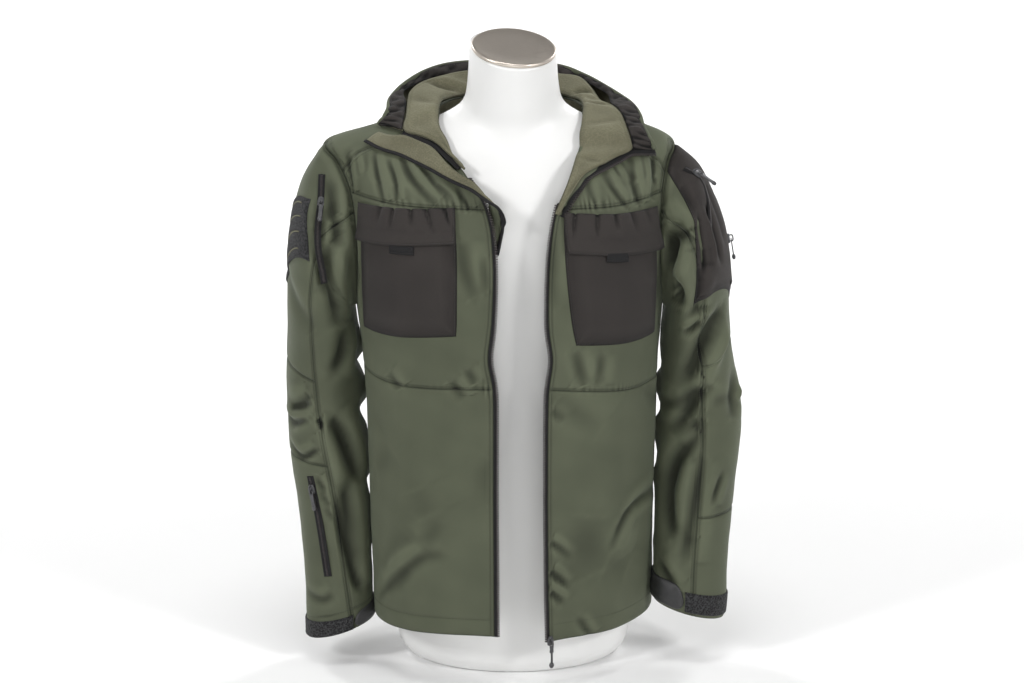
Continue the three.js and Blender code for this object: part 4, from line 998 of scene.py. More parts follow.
def pack_cloth_look():
    """Coarse plain weave with uneven yarns, charcoal."""
    look, tree, shader = start_look("pack_cloth", 0.82, Sheen_Weight=0.05)
    weave = placed(tree, WEAVE, Threads=4200.0, Twill=0.0, Slub=0.9)
    patch = placed(tree, VARIATION, Patch=12.0)
    broad = mix_colours(
        tree, ranged(tree, patch.outputs["Shade"], 0.3, 0.7), (0.014, 0.0124, 0.0118), (0.020, 0.0172, 0.016)
    )
    yarn = ranged(tree, weave.outputs["Shade"], -0.4, 1.3)
    # Painted shade in creases and seams, and a painted highlight on ridges, scaled into the colour.
    shade_painted_in_folds(tree, shader, mix_colours(tree, yarn, broad, (0.037, 0.032, 0.0295)), 0.85)
    bumped(tree, shader, weave.outputs["Height"], 0.00016, 0.8)
    return look


def tape_look():
    """Woven zip tape: fine ribs, black."""
    look, tree, shader = start_look("zip_tape", 0.7)
    weave = placed(tree, WEAVE, Threads=5200.0, Twill=1.0, Slub=0.4)
    tree.links.new(mix_colours(tree, ranged(tree, weave.outputs["Shade"], -0.4, 1.0), (0.006, 0.006, 0.0065),
                               (0.022, 0.021, 0.022)), shader.inputs["Base Color"])
    bumped(tree, shader, weave.outputs["Height"], 0.00012, 0.7)
    return look


def speckled_look(name, roughness, scale, dark, light, distance, **sockets):
    """Moulded or cast finish with a fine grain and a little wear."""
    look, tree, shader = start_look(name, roughness, **sockets)
    nap = placed(tree, NAP, Fineness=scale)
    patch = placed(tree, VARIATION, Patch=40.0)
    grain = math_node(tree, "MULTIPLY", nap.outputs["Height"], 0.5)
    share = math_node(tree, "MULTIPLY", math_node(tree, "ADD", grain, patch.outputs["Shade"]), 0.8)
    tree.links.new(mix_colours(tree, ranged(tree, share, 0.3, 0.9), dark, light), shader.inputs["Base Color"])
    tree.links.new(ranged(tree, patch.outputs["Shade"], 0.3, 0.7, roughness - 0.06, roughness + 0.08),
                   shader.inputs["Roughness"])
    bumped(tree, shader, nap.outputs["Height"], distance, 0.6)
    return look


def loop_pile_look():
    """Hook-and-loop pile: a dense tangle of fibre with grey tips."""
    look, tree, shader = start_look("loop_pile", 0.9, Sheen_Weight=0.08)
    nap = placed(tree, NAP, Fineness=900.0)
    tips = ranged(tree, nap.outputs["Height"], 0.62, 1.0)
    tree.links.new(mix_colours(tree, tips, (0.005, 0.005, 0.0055), (0.05, 0.05, 0.052)), shader.inputs["Base Color"])
    bumped(tree, shader, nap.outputs["Height"], 0.0011, 1.0)
    return look


def form_look():
    """Satin white shell with the faintest unevenness."""
    look, tree, shader = start_look("form_shell", 0.42, Coat_Weight=0.12, Coat_Roughness=0.3)
    patch = placed(tree, VARIATION, Patch=5.0)
    tree.links.new(mix_colours(tree, patch.outputs["Shade"], (0.78, 0.78, 0.77), (0.86, 0.86, 0.85)),
                   shader.inputs["Base Color"])
    tree.links.new(ranged(tree, patch.outputs["Shade"], 0.3, 0.7, 0.38, 0.47), shader.inputs["Roughness"])
    bumped(tree, shader, patch.outputs["Shade"], 0.0006, 0.15)
    return look


def brushed_steel_look():
    """Brushed steel: long fine scratches across the cap."""
    look, tree, shader = start_look("brushed_steel", 0.34, Metallic=1.0)
    where = tree.nodes.new("ShaderNodeTexCoord")
    stretch = node(tree, "ShaderNodeMapping")
    stretch.inputs["Scale"].default_value = (14, 1400, 1400)
    scratches = node(tree, "ShaderNodeTexNoise", Scale=1.0, Detail=4.0)
    tree.links.new(where.outputs["Object"], stretch.inputs["Vector"])
    tree.links.new(stretch.outputs["Vector"], scratches.inputs["Vector"])
    tree.links.new(mix_colours(tree, scratches.outputs["Fac"], (0.60, 0.54, 0.475), (0.76, 0.69, 0.61)),
                   shader.inputs["Base Color"])
    tree.links.new(ranged(tree, scratches.outputs["Fac"], 0.3, 0.7, 0.30, 0.46), shader.inputs["Roughness"])
    bumped(tree, shader, scratches.outputs["Fac"], 0.00004, 0.4)
    return look


softshell = softshell_look("softshell", (0.064, 0.0715, 0.0455), (0.086, 0.095, 0.062))
fleece = fleece_look()
pack_cloth = pack_cloth_look()
zip_tape = tape_look()
zip_teeth = speckled_look("zip_teeth", 0.36, 1500.0, (0.012, 0.011, 0.011), (0.045, 0.036, 0.036), 0.00005)
loop_pile = loop_pile_look()
cuff_rubber = speckled_look("cuff_rubber", 0.5, 900.0, (0.015, 0.015, 0.0155), (0.032, 0.032, 0.033), 0.00012)
zip_metal = speckled_look(
    "zip_metal", 0.36, 1200.0, (0.045, 0.045, 0.047), (0.11, 0.11, 0.115), 0.00004, Metallic=0.6
)
form_shell = form_look()
brushed_steel = brushed_steel_look()
threads = {
    "green": speckled_look("green_thread", 0.6, 2600.0, (0.016, 0.020, 0.011), (0.045, 0.052, 0.032), 0.0002),
    "black": speckled_look("black_thread", 0.6, 2600.0, (0.010, 0.010, 0.010), (0.030, 0.028, 0.028), 0.0002),
    "khaki": speckled_look("khaki_thread", 0.7, 2600.0, (0.10, 0.10, 0.055), (0.17, 0.165, 0.10), 0.0002),
}
SHELL = [softshell, fleece]


# Body panels

def front_end(z):
    """Where a front panel ends at a level: the side seam, the armhole, then the shoulder seam."""
    on_armhole = 2 - ARMHOLE_FRONT * np.sin(np.radians(armhole_angle(z)))
    return np.where(z < ARMPIT_Z, 2, np.where(z < SHOULDER_SEAM_Z, on_armhole, shoulder_seam_turn(z)))


def front(way):
    """The cloth of one front, by a share from its edge to its end and a level."""
    def cloth(share, level):
        turn = share * front_end(level)
        turn = turn if way > 0 else TURN - turn
        return torso_cloth(turn, level_height(turn, level))

    return cloth


def shares(low, high, length, **spacing):
    """Values from low to high, close together near both ends of their length in metres."""
    return blend(low, high, spaced(length, **spacing))


HEM_STITCH = 24 * MM
EDGE_SHARE = 0.018  # the cloth is turned in just behind the zip's teeth, over the rest of its tape
for name, way in SIDES.items():
    skirt_across = shares(EDGE_SHARE, 1, 0.19, coarse=3.4 * MM)
    across = shares(EDGE_SHARE, 1, 0.19, coarse=1.7 * MM)
    cloth_wall(f"{name}_front_skirt", front(way), skirt_across, shares(HEM_Z, MID_SEAM_Z, 0.348), SHELL,
               "softshell", stitched=[("v0", HEM_STITCH), ("u0", EDGE_STITCH)])
    cloth_wall(f"{name}_front_chest", front(way), across, shares(MID_SEAM_Z, CHEST_SEAM_Z, 0.24), SHELL, "softshell",
               stitched=[("v0", SEAM_STITCH), ("u0", EDGE_STITCH), ("u1", EDGE_STITCH)])
    cloth_wall(f"{name}_front_yoke", front(way), across, shares(CHEST_SEAM_Z, NECKLINE_Z, 0.14, coarse=2.6 * MM),
               SHELL, "softshell", stitched=[("v0", 3.4 * MM), ("u1", SEAM_STITCH), ("u1", 8.5 * MM)])


def back(share, level):
    """The cloth of the back below its yoke, by a share from the left side to the right and a level."""
    on_armhole = 2 + ARMHOLE_BACK * np.sin(np.radians(armhole_angle(level)))
    start = np.where(level < ARMPIT_Z, 2, on_armhole)
    turn = blend(start, TURN - start, share)
    return torso_cloth(turn, level_height(turn, level))


cloth_wall("back_panel", back, spaced(0.56, coarse=5 * MM), shares(HEM_Z, BACK_YOKE_Z, 0.56, coarse=5 * MM), SHELL,
           "softshell", stitched=[("v0", HEM_STITCH)])

YOKE_SHOULDER = 8  # columns of the yoke's low edge on an armhole, then those on half of the back seam
YOKE_SEAM = 5
YOKE_END = 2 * (YOKE_SHOULDER + YOKE_SEAM)


def back_yoke(at, share):
    """From the armholes and the back seam up to the neckline, wrapping forward over both shoulders."""
    mirrored = at > YOKE_END / 2
    k = np.where(mirrored, YOKE_END - at, at)
    angle = SHOULDER_SEAM_ANGLE - 15 * np.minimum(k, YOKE_SHOULDER)
    corner = armhole_turn(1, -BACK_YOKE_ANGLE)
    along_back = blend(corner, TURN / 2, (k - YOKE_SHOULDER) / YOKE_SEAM)
    low = np.where(k < YOKE_SHOULDER, armhole_turn(1, angle), along_back)
    low = np.where(mirrored, TURN - low, low)
    neck = shoulder_seam_turn(NECKLINE_Z)
    turn = blend(low, blend(neck, TURN - neck, at / YOKE_END), share)
    return torso_cloth(turn, blend(armhole_height(angle), NECKLINE_Z, share))


cloth_wall("back_yoke", back_yoke, shares(0, YOKE_END, 0.62, coarse=5 * MM), spaced(0.13, coarse=4 * MM), SHELL,
           "softshell", stitched=[("v0", SEAM_STITCH), ("v0", 9.5 * MM), ("u0", SEAM_STITCH), ("u1", SEAM_STITCH)])

# Sleeves: the outer sleeve in three, the under sleeve in one

BACK_SEAM = -75  # degrees round the sleeve, and the front seam's angle before its turn
FRONT_SEAM = 75
SLEEVE_CUT = {
    "left": {"elbow_top": 5, "elbow_low": 8.2, "seam_from": 4, "seam_to": 6, "seam_turn": 12},
    "right": {"elbow_top": 5.35, "elbow_low": 7.1, "seam_from": 5, "seam_to": 11, "seam_turn": 44},
}
CUFF_STITCH = 30 * MM


def add_sleeve(name, way):
    """The four panels of a sleeve: three down its outside and one under it."""
    cut = SLEEVE_CUT[name]
    cloth = sleeve_cloth(way)

    def front_seam(station):
        """The front seam's angle: steady, then turning under towards the cuff."""
        turned = np.clip((station - cut["seam_from"]) / (cut["seam_to"] - cut["seam_from"]), 0, 1)
        return FRONT_SEAM + cut["seam_turn"] * turned

    def outer(share, station):
        """From the back seam over the outside to the front seam."""
        return cloth(blend(BACK_SEAM, front_seam(station), share), station)

    def under(share, station):
        """From the front seam round under the arm to the back seam."""
        return cloth(blend(front_seam(station), 360 + BACK_SEAM, share), station)

    top, low = cut["elbow_top"], cut["elbow_low"]
    across = spaced(0.17, coarse=3.4 * MM)
    cloth_wall(f"{name}_upper_sleeve", outer, across, shares(0, top, 0.3, coarse=3.4 * MM), SHELL, "softshell",
               stitched=[("u1", SEAM_STITCH), ("v0", EDGE_STITCH)])
    cloth_wall(f"{name}_elbow_panel", outer, across, shares(top, low, 0.14, coarse=3 * MM), SHELL, "softshell",
               stitched=[("u1", SEAM_STITCH), ("v0", 2.6 * MM), ("v1", 2.6 * MM)])
    cloth_wall(f"{name}_forearm", outer, across, shares(low, SLEEVE_END, 0.2, coarse=3.4 * MM), SHELL, "softshell",
               stitched=[("u1", SEAM_STITCH), ("v1", CUFF_STITCH)])
    cloth_wall(f"{name}_under_sleeve", under, spaced(0.2, coarse=4 * MM), shares(0, SLEEVE_END, 0.5, coarse=4 * MM),
               SHELL, "softshell", stitched=[("u0", SEAM_STITCH), ("v1", CUFF_STITCH)])


for name, way in SIDES.items():
    add_sleeve(name, way)


# Trims that lie on the cloth: four corners in its two parameters

def on_cloth(cloth, corners, lift):
    """A patch between four corners in the cloth's own parameters, at a lift above its relief."""
    (a, b), (c, d) = corners[:2], corners[2:]

    def place(u, v):
        at = [blend(blend(a[k], b[k], u), blend(c[k], d[k], u), v) for k in (0, 1)]
        points, normals, relief = cloth(at[0], at[1])
        return points, normals, relief + lift

    return place


def add_trim(name, cloth, us, vs, look, slot, **more):
    """One layer of cloth, tape or rubber laid on the jacket, with black thread."""
    return cloth_wall(name, cloth, us, vs, [look], slot, **{"thick": TRIM, "thread": "black", "held": "laid", **more})


def torso_mm(turn, z):
    """The body's cloth with its height in millimetres, as the tables of the trims give it."""
    return torso_cloth(turn, z * MM)


def pocket_swell(height, seed):
    """A pocket's fullness: pressed flat at its edges, gently uneven inside."""
    def extra(u, v, distance):
        inside = np.minimum.reduce(list(distance.values()))
        full = soft_step((inside - 4 * MM) / (22 * MM))
        return height * full + 0.5 * MM * full * np.sin(7 * u + 5 * v + seed) * np.sin(9 * v - 3 * u + seed)

    return extra


def flap_form(seed):
    """A pocket flap: gathers below its top seam, and its lower edge stands off a little."""
    def extra(u, v, distance):
        gathers = sum(
            -2.4 * depth * MM * np.exp(-(((u - at - lean * v) / 0.024) ** 2)) * (1 - soft_step(v / run))
            for at, lean, depth, run in FLAP_GATHERS[seed]
        )
        return gathers + 2.6 * MM * soft_step((v - 0.55) / 0.45) + 0.6 * MM * np.sin(8 * u + seed) * v

    return extra


FLAP_GATHERS = {  # place across, lean, depth and how far down the flap
    0: [
        (0.28, -0.02, 2.0, 0.55), (0.42, 0.0, 2.4, 0.7), (0.60, 0.06, 2.2, 0.6), (0.74, 0.12, 2.4, 0.8),
        (0.90, 0.1, 1.6, 0.6),
    ],
    1: [
        (0.12, -0.06, 2.2, 0.7), (0.34, -0.08, 2.4, 0.65), (0.52, -0.03, 1.8, 0.5), (0.70, 0.02, 1.6, 0.6),
        (0.86, 0.04, 1.2, 0.5),
    ],
}
POCKETS = {  # two upper corners, then two lower ones: turn and height in millimetres
    "right": {
        "pocket": [[6.5, 653], [7.64, 661], [6.4, 486], [7.64, 497]],
        "flap": [[6.5, 655], [7.66, 664], [6.44, 606], [7.63, 620]],
        "tab": [[6.98, 615], [7.25, 615], [6.98, 603], [7.25, 604]],
    },
    "left": {
        "pocket": [[0.15, 656], [1.5, 647], [0.33, 484], [1.56, 478]],
        "flap": [[0.13, 659], [1.52, 649], [0.23, 609], [1.62, 592]],
        "tab": [[0.69, 608], [0.98, 605], [0.69, 595], [0.98, 592]],
    },
}
LIFT = 1.6 * MM  # how far a trim stands above the cloth that carries it
FLAP_LIFT = LIFT + 3.6 * MM
TAB_LIFT = LIFT + 5.4 * MM
TRIM_SEAMS = [("u0", TRIM_STITCH), ("u1", TRIM_STITCH), ("v1", TRIM_STITCH)]
for seed, (name, parts) in enumerate(reversed(POCKETS.items())):
    fine = spaced(0.12, coarse=3 * MM)
    deep = spaced(0.165, coarse=3.4 * MM)
    short = spaced(0.05, coarse=2 * MM)
    tab_across, tab_down = (spaced(length, 1.5 * MM, 0.7 * MM, 3 * MM) for length in (0.03, 0.012))
    add_trim(f"{name}_chest_pocket", on_cloth(torso_mm, parts["pocket"], LIFT), fine, deep, pack_cloth,
             "pack_cloth", roll=1.2 * MM, extra=pocket_swell(2.2 * MM, seed), stitched=TRIM_SEAMS)
    add_trim(f"{name}_pocket_flap", on_cloth(torso_mm, parts["flap"], FLAP_LIFT), fine, short, pack_cloth,
             "pack_cloth", roll=1.2 * MM, extra=flap_form(1 - seed), stitched=TRIM_SEAMS)
    add_trim(f"{name}_flap_tab", on_cloth(torso_mm, parts["tab"], TAB_LIFT), tab_across, tab_down, zip_tape,
             "pack_cloth", roll=0.8 * MM, stitched=[("v1", 2.2 * MM)])

arms = {name: sleeve_cloth(way) for name, way in SIDES.items()}
CUFFS = {  # two corners, then the two below them: angle and station on the sleeve
    "right": {"band": [[-60, 10.05], [116, 10.15], [-60, 10.98], [116, 10.98]],
              "tab": [[118, 10.1], [215, 9.9], [118, 10.95], [215, 10.95]]},
    "left": {"band": [[-50, 9.95], [99, 9.85], [-50, 10.85], [99, 10.85]],
             "tab": [[101, 9.7], [195, 9.6], [101, 10.85], [195, 10.85]]},
}


def fuzz(u, v, distance):
    """Uneven surface of matted pile."""
    return 0.28 * MM * np.sin(211 * u + 3 * np.sin(91 * v)) * np.sin(83 * v + 2 * np.sin(57 * u))


def rounded_tip(u, v, distance):
    """A moulded tab: crowned, with a pressed rim and two long ribs."""
    ribs = sum(np.exp(-(((v - at) / 0.07) ** 2)) for at in (0.36, 0.64)) * soft_step((u - 0.3) / 0.1)
    return 1.0 * MM * soft_step(np.minimum.reduce(list(distance.values())) / (5 * MM)) + 0.5 * MM * ribs


def tab_shape(corners, tip):
    """Corners of a strap whose end at u = 0 is a half round: its rows draw together towards the tip."""
    def place(cloth, lift):
        base = on_cloth(cloth, corners, lift)

        def shaped(u, v):
            near = np.clip(1 - u / tip, 0, 1)
            half = np.sqrt(np.clip(1 - near**2, 0.02, 1))
            return base(u, 0.5 + (v - 0.5) * half)

        return shaped

    return place


for name, parts in CUFFS.items():
    add_trim(f"{name}_cuff_band", on_cloth(arms[name], parts["band"], LIFT), spaced(0.16, coarse=2 * MM),
             spaced(0.024, 1.6 * MM, 0.8 * MM, 4 * MM), loop_pile, "loop_pile", roll=1.0 * MM, rise=1.6 * MM,
             extra=fuzz)
    add_trim(f"{name}_cuff_tab", tab_shape(parts["tab"], 0.16)(arms[name], LIFT + 0.6 * MM),
             spaced(0.1, coarse=1.8 * MM), spaced(0.026, 1.4 * MM, 0.7 * MM, 4 * MM), cuff_rubber, "cuff_rubber",
             thick=2 * MM, roll=1.0 * MM, rise=1.2 * MM, extra=rounded_tip)

PATCH = [[0, 2.25], [43, 1.0], [2, 4.05], [69, 2.45]]  # corners on the right sleeve
PATCH_SLITS = (0.12, 0.37, 0.62, 0.87)  # how far down the patch each slit lies
SLIT_END = 0.72  # how far across it they run


def slit_rows(u, v, distance):
    """Narrow slits across the patch from its rear edge."""
    across = soft_step((SLIT_END + 0.05 - u) / 0.08)
    deep = sum(np.exp(-(((v - at) / 0.026) ** 2)) for at in PATCH_SLITS) * across
    return fuzz(u, v, distance) * (1 - deep) - 1.7 * MM * deep


patch_cloth = on_cloth(arms["right"], PATCH, LIFT)
add_trim("right_loop_patch", patch_cloth, spaced(0.07, 1.8 * MM, 0.9 * MM, 4 * MM),
         spaced(0.09, 0.8 * MM, 0.8 * MM, 4 * MM), loop_pile, "loop_pile", rise=1.6 * MM, roll=1.0 * MM,
         extra=slit_rows)


def slit_cloth(down):
    """The sleeve's own cloth where it shows in a slit: a low ridge along it."""
    u = np.linspace(0.03, SLIT_END, 16)
    points, normals, relief = patch_cloth(u, down + 0 * u)
    return tube(points + normals * (relief + 0.5 * MM)[:, None], 0.95 * MM, sides=8)


new_piece("slit_cloth", *joined([slit_cloth(down) for down in PATCH_SLITS]), [fleece], "root", "fleece")

ARM_POCKET_WIDTH = 150 * MM
ARM_POCKET_PLEATS = [  # position across, lean, depth and width in millimetres, from and to down the pocket
    (0.93, -0.10, -4.0, 5.0, 0.34, 0.86),
    (0.83, -0.16, 2.4, 4.5, 0.36, 0.88),
    (0.74, -0.16, -3.6, 4.5, 0.42, 0.9),
    (0.60, -0.10, -2.2, 5.0, 0.30, 0.82),
    (0.30, 0.06, -1.8, 7.0, 0.35, 0.9),
]


def arm_pocket_form(u, v, distance):
    """The cargo pocket on the arm: full below, with long pleats that run down from its zips."""
    inside = np.minimum.reduce([distance[e] for e in ("u0", "u1", "v1")])
    full = 4.2 * MM * soft_step((inside - 3 * MM) / (20 * MM)) * soft_step(v / 0.3)
    for at, lean, depth, across, start, end in ARM_POCKET_PLEATS:
        run = soft_step((v - start) / 0.12) * soft_step((end - v) / 0.12)
        off = (u - at - lean * (v - start)) * ARM_POCKET_WIDTH
        full = full + 1.4 * depth * MM * run * np.exp(-((off / (across * MM)) ** 2))
    return full


add_trim("left_arm_pocket", on_cloth(arms["left"], [[-48, 0.1], [43, 0.1], [-52, 4.9], [93, 3.3]], LIFT),
         spaced(0.15, coarse=2.4 * MM), spaced(0.24, coarse=2.8 * MM), pack_cloth, "pack_cloth", roll=1.4 * MM,
         extra=arm_pocket_form, stitched=TRIM_SEAMS)

# Collar, hood and lapels: strips between lines of a table, in millimetres. The collar runs from the right
# front edge round the neck to the left one. Pouch is how far the hood hangs there, 1 at the spine.

COLLAR = [
    {"roll": (-62, -98, 711), "edge": (-67, -94, 712)},
    {"roll": (-77, -77, 722), "edge": (-82, -80, 722)},
    {"roll": (-86, -58, 738), "edge": (-101, -61, 734)},
    {"roll": (-95, -38, 749), "edge": (-121, -49, 741)},
    {"roll": (-98, -22, 757), "edge": (-143, -34, 745), "brim": (-179, -4, 745), "pouch": 0},
    {"roll": (-98, -8, 764), "edge": (-141, -8, 758), "brim": (-171, -6, 754), "pouch": 0},
    {"roll": (-97, 8, 770), "edge": (-140, 22, 769), "brim": (-165, 8, 764), "pouch": 0},
    {"roll": (-93, 30, 772), "edge": (-137, 52, 776), "brim": (-163, 45, 770), "pouch": 0.15},
    {"roll": (-82, 52, 770), "edge": (-123, 78, 782), "brim": (-145, 87, 779), "pouch": 0.42},
    {"roll": (-62, 70, 770), "edge": (-98, 97, 786), "brim": (-113, 130, 788), "pouch": 0.72},
    {"roll": (-34, 82, 770), "edge": (-62, 108, 791), "brim": (-72, 150, 793), "pouch": 0.93},
    {"roll": (0, 87, 770), "edge": (0, 113, 792), "brim": (0, 155, 793), "pouch": 1},
    {"roll": (34, 82, 770), "edge": (61, 108, 787), "brim": (60, 150, 789), "pouch": 0.93},
    {"roll": (62, 70, 770), "edge": (90, 96, 785), "brim": (95, 130, 781), "pouch": 0.72},
    {"roll": (80, 52, 770), "edge": (107, 66, 775), "brim": (122, 98, 774), "pouch": 0.45},
    {"roll": (90, 30, 772), "edge": (117, 34, 767), "brim": (147, 62, 767), "pouch": 0.2},
    {"roll": (93, 8, 770), "edge": (131, 15, 766), "brim": (160, 35, 763), "pouch": 0},
    {"roll": (92, -9, 764), "edge": (142, -4, 760), "brim": (168, 8, 756), "pouch": 0},
    {"roll": (90, -32, 754), "edge": (148, -22, 749), "brim": (171, -16, 748), "pouch": 0},
    {"roll": (87, -52, 744), "edge": (153, -38, 737), "brim": (179, -38, 735), "pouch": 0},
    {"roll": (87, -67, 731), "edge": (155, -52, 723), "brim": (187, -42, 721), "pouch": 0},
    {"roll": (82, -84, 723), "edge": (134, -70, 717)},
    {"roll": (78, -99, 714), "edge": (114, -87, 711)},
    {"roll": (74, -111, 704), "edge": (94, -101, 703)},
    {"roll": (69, -121, 692), "edge": (80, -116, 688)},
    {"roll": (62, -130, 677), "edge": (69, -127, 674)},
    {"roll": (54, -137, 660), "edge": (60, -136, 657)},
]
BRIMMED = [k for k, row in enumerate(COLLAR) if "brim" in row]
NECK = COLLAR[BRIMMED[0]:BRIMMED[-1] + 1]
LAST_NECK = len(NECK) - 1
STORM_FLAP = [
    {"seam": (-177, -13, 737), "free": (-194, -27, 728)},
    {"seam": (-161, -33, 738), "free": (-174, -47, 723)},
    {"seam": (-143, -42, 740), "free": (-148, -64, 719)},
    {"seam": (-123, -56, 736), "free": (-127, -79, 713)},
    {"seam": (-104, -68.6, 729.5), "free": (-108, -92, 707)},
    {"seam": (-86, -93.6, 716.4), "free": (-90, -104, 700)},
    {"seam": (-71, -107.6, 706.4), "free": (-74, -113, 694)},
    {"seam": (-50, -120, 697), "free": (-53, -127, 688)},
    {"seam": (-35, -136, 683), "free": (-33, -143, 678)},
    {"seam": (-31, -126, 668), "free": (-19, -142, 668)},
    {"seam": (-31, -128, 655), "free": (-13, -136, 653)},
    {"seam": (-32, -131, 641), "free": (-13, -133, 640)},
    {"seam": (-34, -137, 624), "free": (-17, -135, 622)},
    {"seam": (-34, -140.5, 606), "free": (-21, -138.5, 604)},
]


def line_of(rows, key):
    """One line of a table, as points in metres."""
    return [np.array(row[key]) * MM for row in rows]


def strip(rows, start, end):
    """The straight way across between two smooth lines of a table."""
    first, second = line_of(rows, start), line_of(rows, end)
    return lambda at, share: blend(path(first, at), path(second, at), np.asarray(share)[..., None])


def strip_cloth(surface, way, relief):
    """The cloth of a strip: its surface, its normals on one side and its relief."""
    def cloth(at, share):
        points, normals = standing(surface, at, share, way)
        return points, normals, relief(at, share, points)

    return cloth


COLLAR_FOLDS = [  # place along the collar, lean across it, depth in millimetres, width in stations
    (5.9, 0.3, -2.0, 0.30),
    (8.7, -0.5, -5.5, 0.26),
    (9.4, -0.6, 2.4, 0.30),
    (13.8, 0.4, -6.0, 0.24),
    (14.5, 0.5, 2.6, 0.30),
    (15.7, 0.5, -3.4, 0.20),
    (18.3, -0.7, -2.0, 0.26),
    (21.2, 0.5, -1.6, 0.22),
]


def collar_relief(at, share, points):
    """The rolled collar: round at its roll line, with soft bends and creases where it turns round the neck."""
    bends = np.sin(1.9 * at + 0.8) * np.sin(0.9 * at + 2.0 * share)
    round_edge = -2.6 * MM * np.exp(-((share / 0.12) ** 2)) - 1.2 * MM * np.exp(-(((1 - share) / 0.1) ** 2))
    creased = sum(
        depth * MM * np.exp(-(((at - place - lean * share) / width) ** 2))
        for place, lean, depth, width in COLLAR_FOLDS
    )
    return (1.6 * MM * bends + creased) * np.sin(np.pi * share) + round_edge + 1.8 * MM


collar_at = shares(0, len(COLLAR) - 1, 0.75, coarse=4 * MM)
cloth_wall("collar", strip_cloth(strip(COLLAR, "roll", "edge"), 1, collar_relief), collar_at,
           spaced(0.05, 2.4 * MM, 1.2 * MM, 5 * MM), [fleece], "fleece", thick=3.2 * MM, roll=3 * MM, thread="khaki",
           stitched=[("v1", 5 * MM)])


def pouch_share(at):
    """How far the hood hangs as a pouch at a station of the brim."""
    rows = {"at": np.arange(len(NECK), dtype=float), "pouch": np.array([row["pouch"] for row in NECK], float)}
    return column(rows, "at", "pouch", np.clip(at, 0, LAST_NECK))


FACING_REACH = 0.4  # how far the facing reaches from the brim to the collar where the pouch is open
FACING_START = 0.07
FACING_DIP = 12 * MM


def facing(at, share):
    """The hood's inner band, from the brim in towards the collar, sinking a little at the back."""
    open_ = pouch_share(at)
    start = FACING_START + np.clip(open_ * 3, 0, 1) * (1 - FACING_REACH)
    points = strip(NECK, "edge", "brim")(at, blend(start, 1, share))
    points[..., 2] -= FACING_DIP * open_ * (1 - share)
    return points


def facing_relief(at, share, points):
    """The facing's unevenness: three crossing waves along it, none at its edges."""
    bends = np.sin(2.7 * at) + 0.7 * np.sin(6.1 * at + 3 * share) + 0.4 * np.sin(13.3 * at - 5 * share)
    return 1.9 * MM * bends * np.sin(np.pi * share) ** 0.5 + 0.8 * MM


cloth_wall("hood_facing", strip_cloth(facing, 1, facing_relief), shares(0, LAST_NECK, 0.6, coarse=4 * MM),
           spaced(0.03, 2 * MM, 1.2 * MM, 4 * MM), [pack_cloth], "pack_cloth", thick=TRIM, thread="black",
           stitched=[("v1", 4 * MM)])

HOOD_DROP = table(
    "share back drop",
    (0, 0, 0), (100, 16, 6), (200, 30, 34), (320, 39, 80), (430, 38, 122), (520, 26, 152), (600, 16, 158),
    (700, 16, 120), (850, 14, 55), (1000, 4, 0),
)
HOOD_OFF_BACK = 10 * MM
HOOD_UNDER = 5.2 * MM  # how far the outer cloth lies under the facing at the brim


def back_depth(x, z):
    """How far back the torso lies beside the spine, by halving the turn until it matches the distance."""
    near = np.where(x > 0, 2.2, 5.8)
    far = np.full_like(near, 4.0)
    for _ in range(18):
        middle = (near + far) / 2
        outside = np.abs(torso(middle, z)[..., 0]) > np.abs(x)
        near, far = np.where(outside, middle, near), np.where(outside, far, middle)
    return torso(near, z)[..., 1]


def hood_surface(at, share):
    """The hood hangs as a pouch: from the brim out and down, then up to its seam behind the collar."""
    open_ = np.clip(pouch_share(at), 0, 1)
    behind = strip(NECK, "roll", "edge")(at, 1 - 0.85 * np.sqrt(open_))
    behind = behind + np.stack([0 * open_, 5 * MM * open_, -HOOD_UNDER - 2 * MM * open_], -1)
    low, low_way = standing(facing, at, 0 * share)
    high, high_way = standing(facing, at, 0 * share + 1)
    seam = blend(low - low_way * HOOD_UNDER, behind, np.clip(open_ * 5, 0, 1)[..., None])
    point = blend(high - high_way * HOOD_UNDER, seam, share[..., None])
    point[..., 1] += open_ * column(HOOD_DROP, "share", "back", share)
    point[..., 2] -= open_ * column(HOOD_DROP, "share", "drop", share)
    low_enough = (open_ > 0) & (point[..., 2] < NECKLINE_Z)
    floor = back_depth(point[..., 0], np.minimum(point[..., 2], NECKLINE_Z)) + HOOD_OFF_BACK
    point[..., 1] = np.where(low_enough, np.maximum(point[..., 1], floor), point[..., 1])
    return point


HOOD_FOLDS = [  # place along the brim, lean, depth and width in stations, from and to down the pouch
    (4.2, 0.8, -5.0, 0.34, 0.02, 0.5),
    (5.6, 0.5, -4.0, 0.30, 0.05, 0.42),
    (6.7, 0.0, 3.0, 0.42, 0.1, 0.5),
    (8.1, -0.4, -5.0, 0.34, 0.03, 0.48),
    (9.6, -0.9, -4.2, 0.32, 0.02, 0.5),
    (10.8, -0.8, -3.0, 0.30, 0.05, 0.4),
]


def hood_relief(at, share, points):
    """The hood's unevenness: slow swells, folds down from the brim and the seam along its middle."""
    total = ripples(points[..., 0] * 1.2, points[..., 2] * 1.3, 1.3 * MM) * pouch_share(at)
    for place, lean, depth, width, start, end in HOOD_FOLDS:
        run = soft_step((share - start) / 0.12) * soft_step((end - share) / 0.15)
        total = total + depth * MM * run * np.exp(-(((at - place - lean * (share - start)) / width) ** 2))
    centre = np.exp(-(((at - 7) / 0.16) ** 2)) * soft_step(share / 0.06) * soft_step((0.56 - share) / 0.06)
    return total - 1.0 * MM * centre


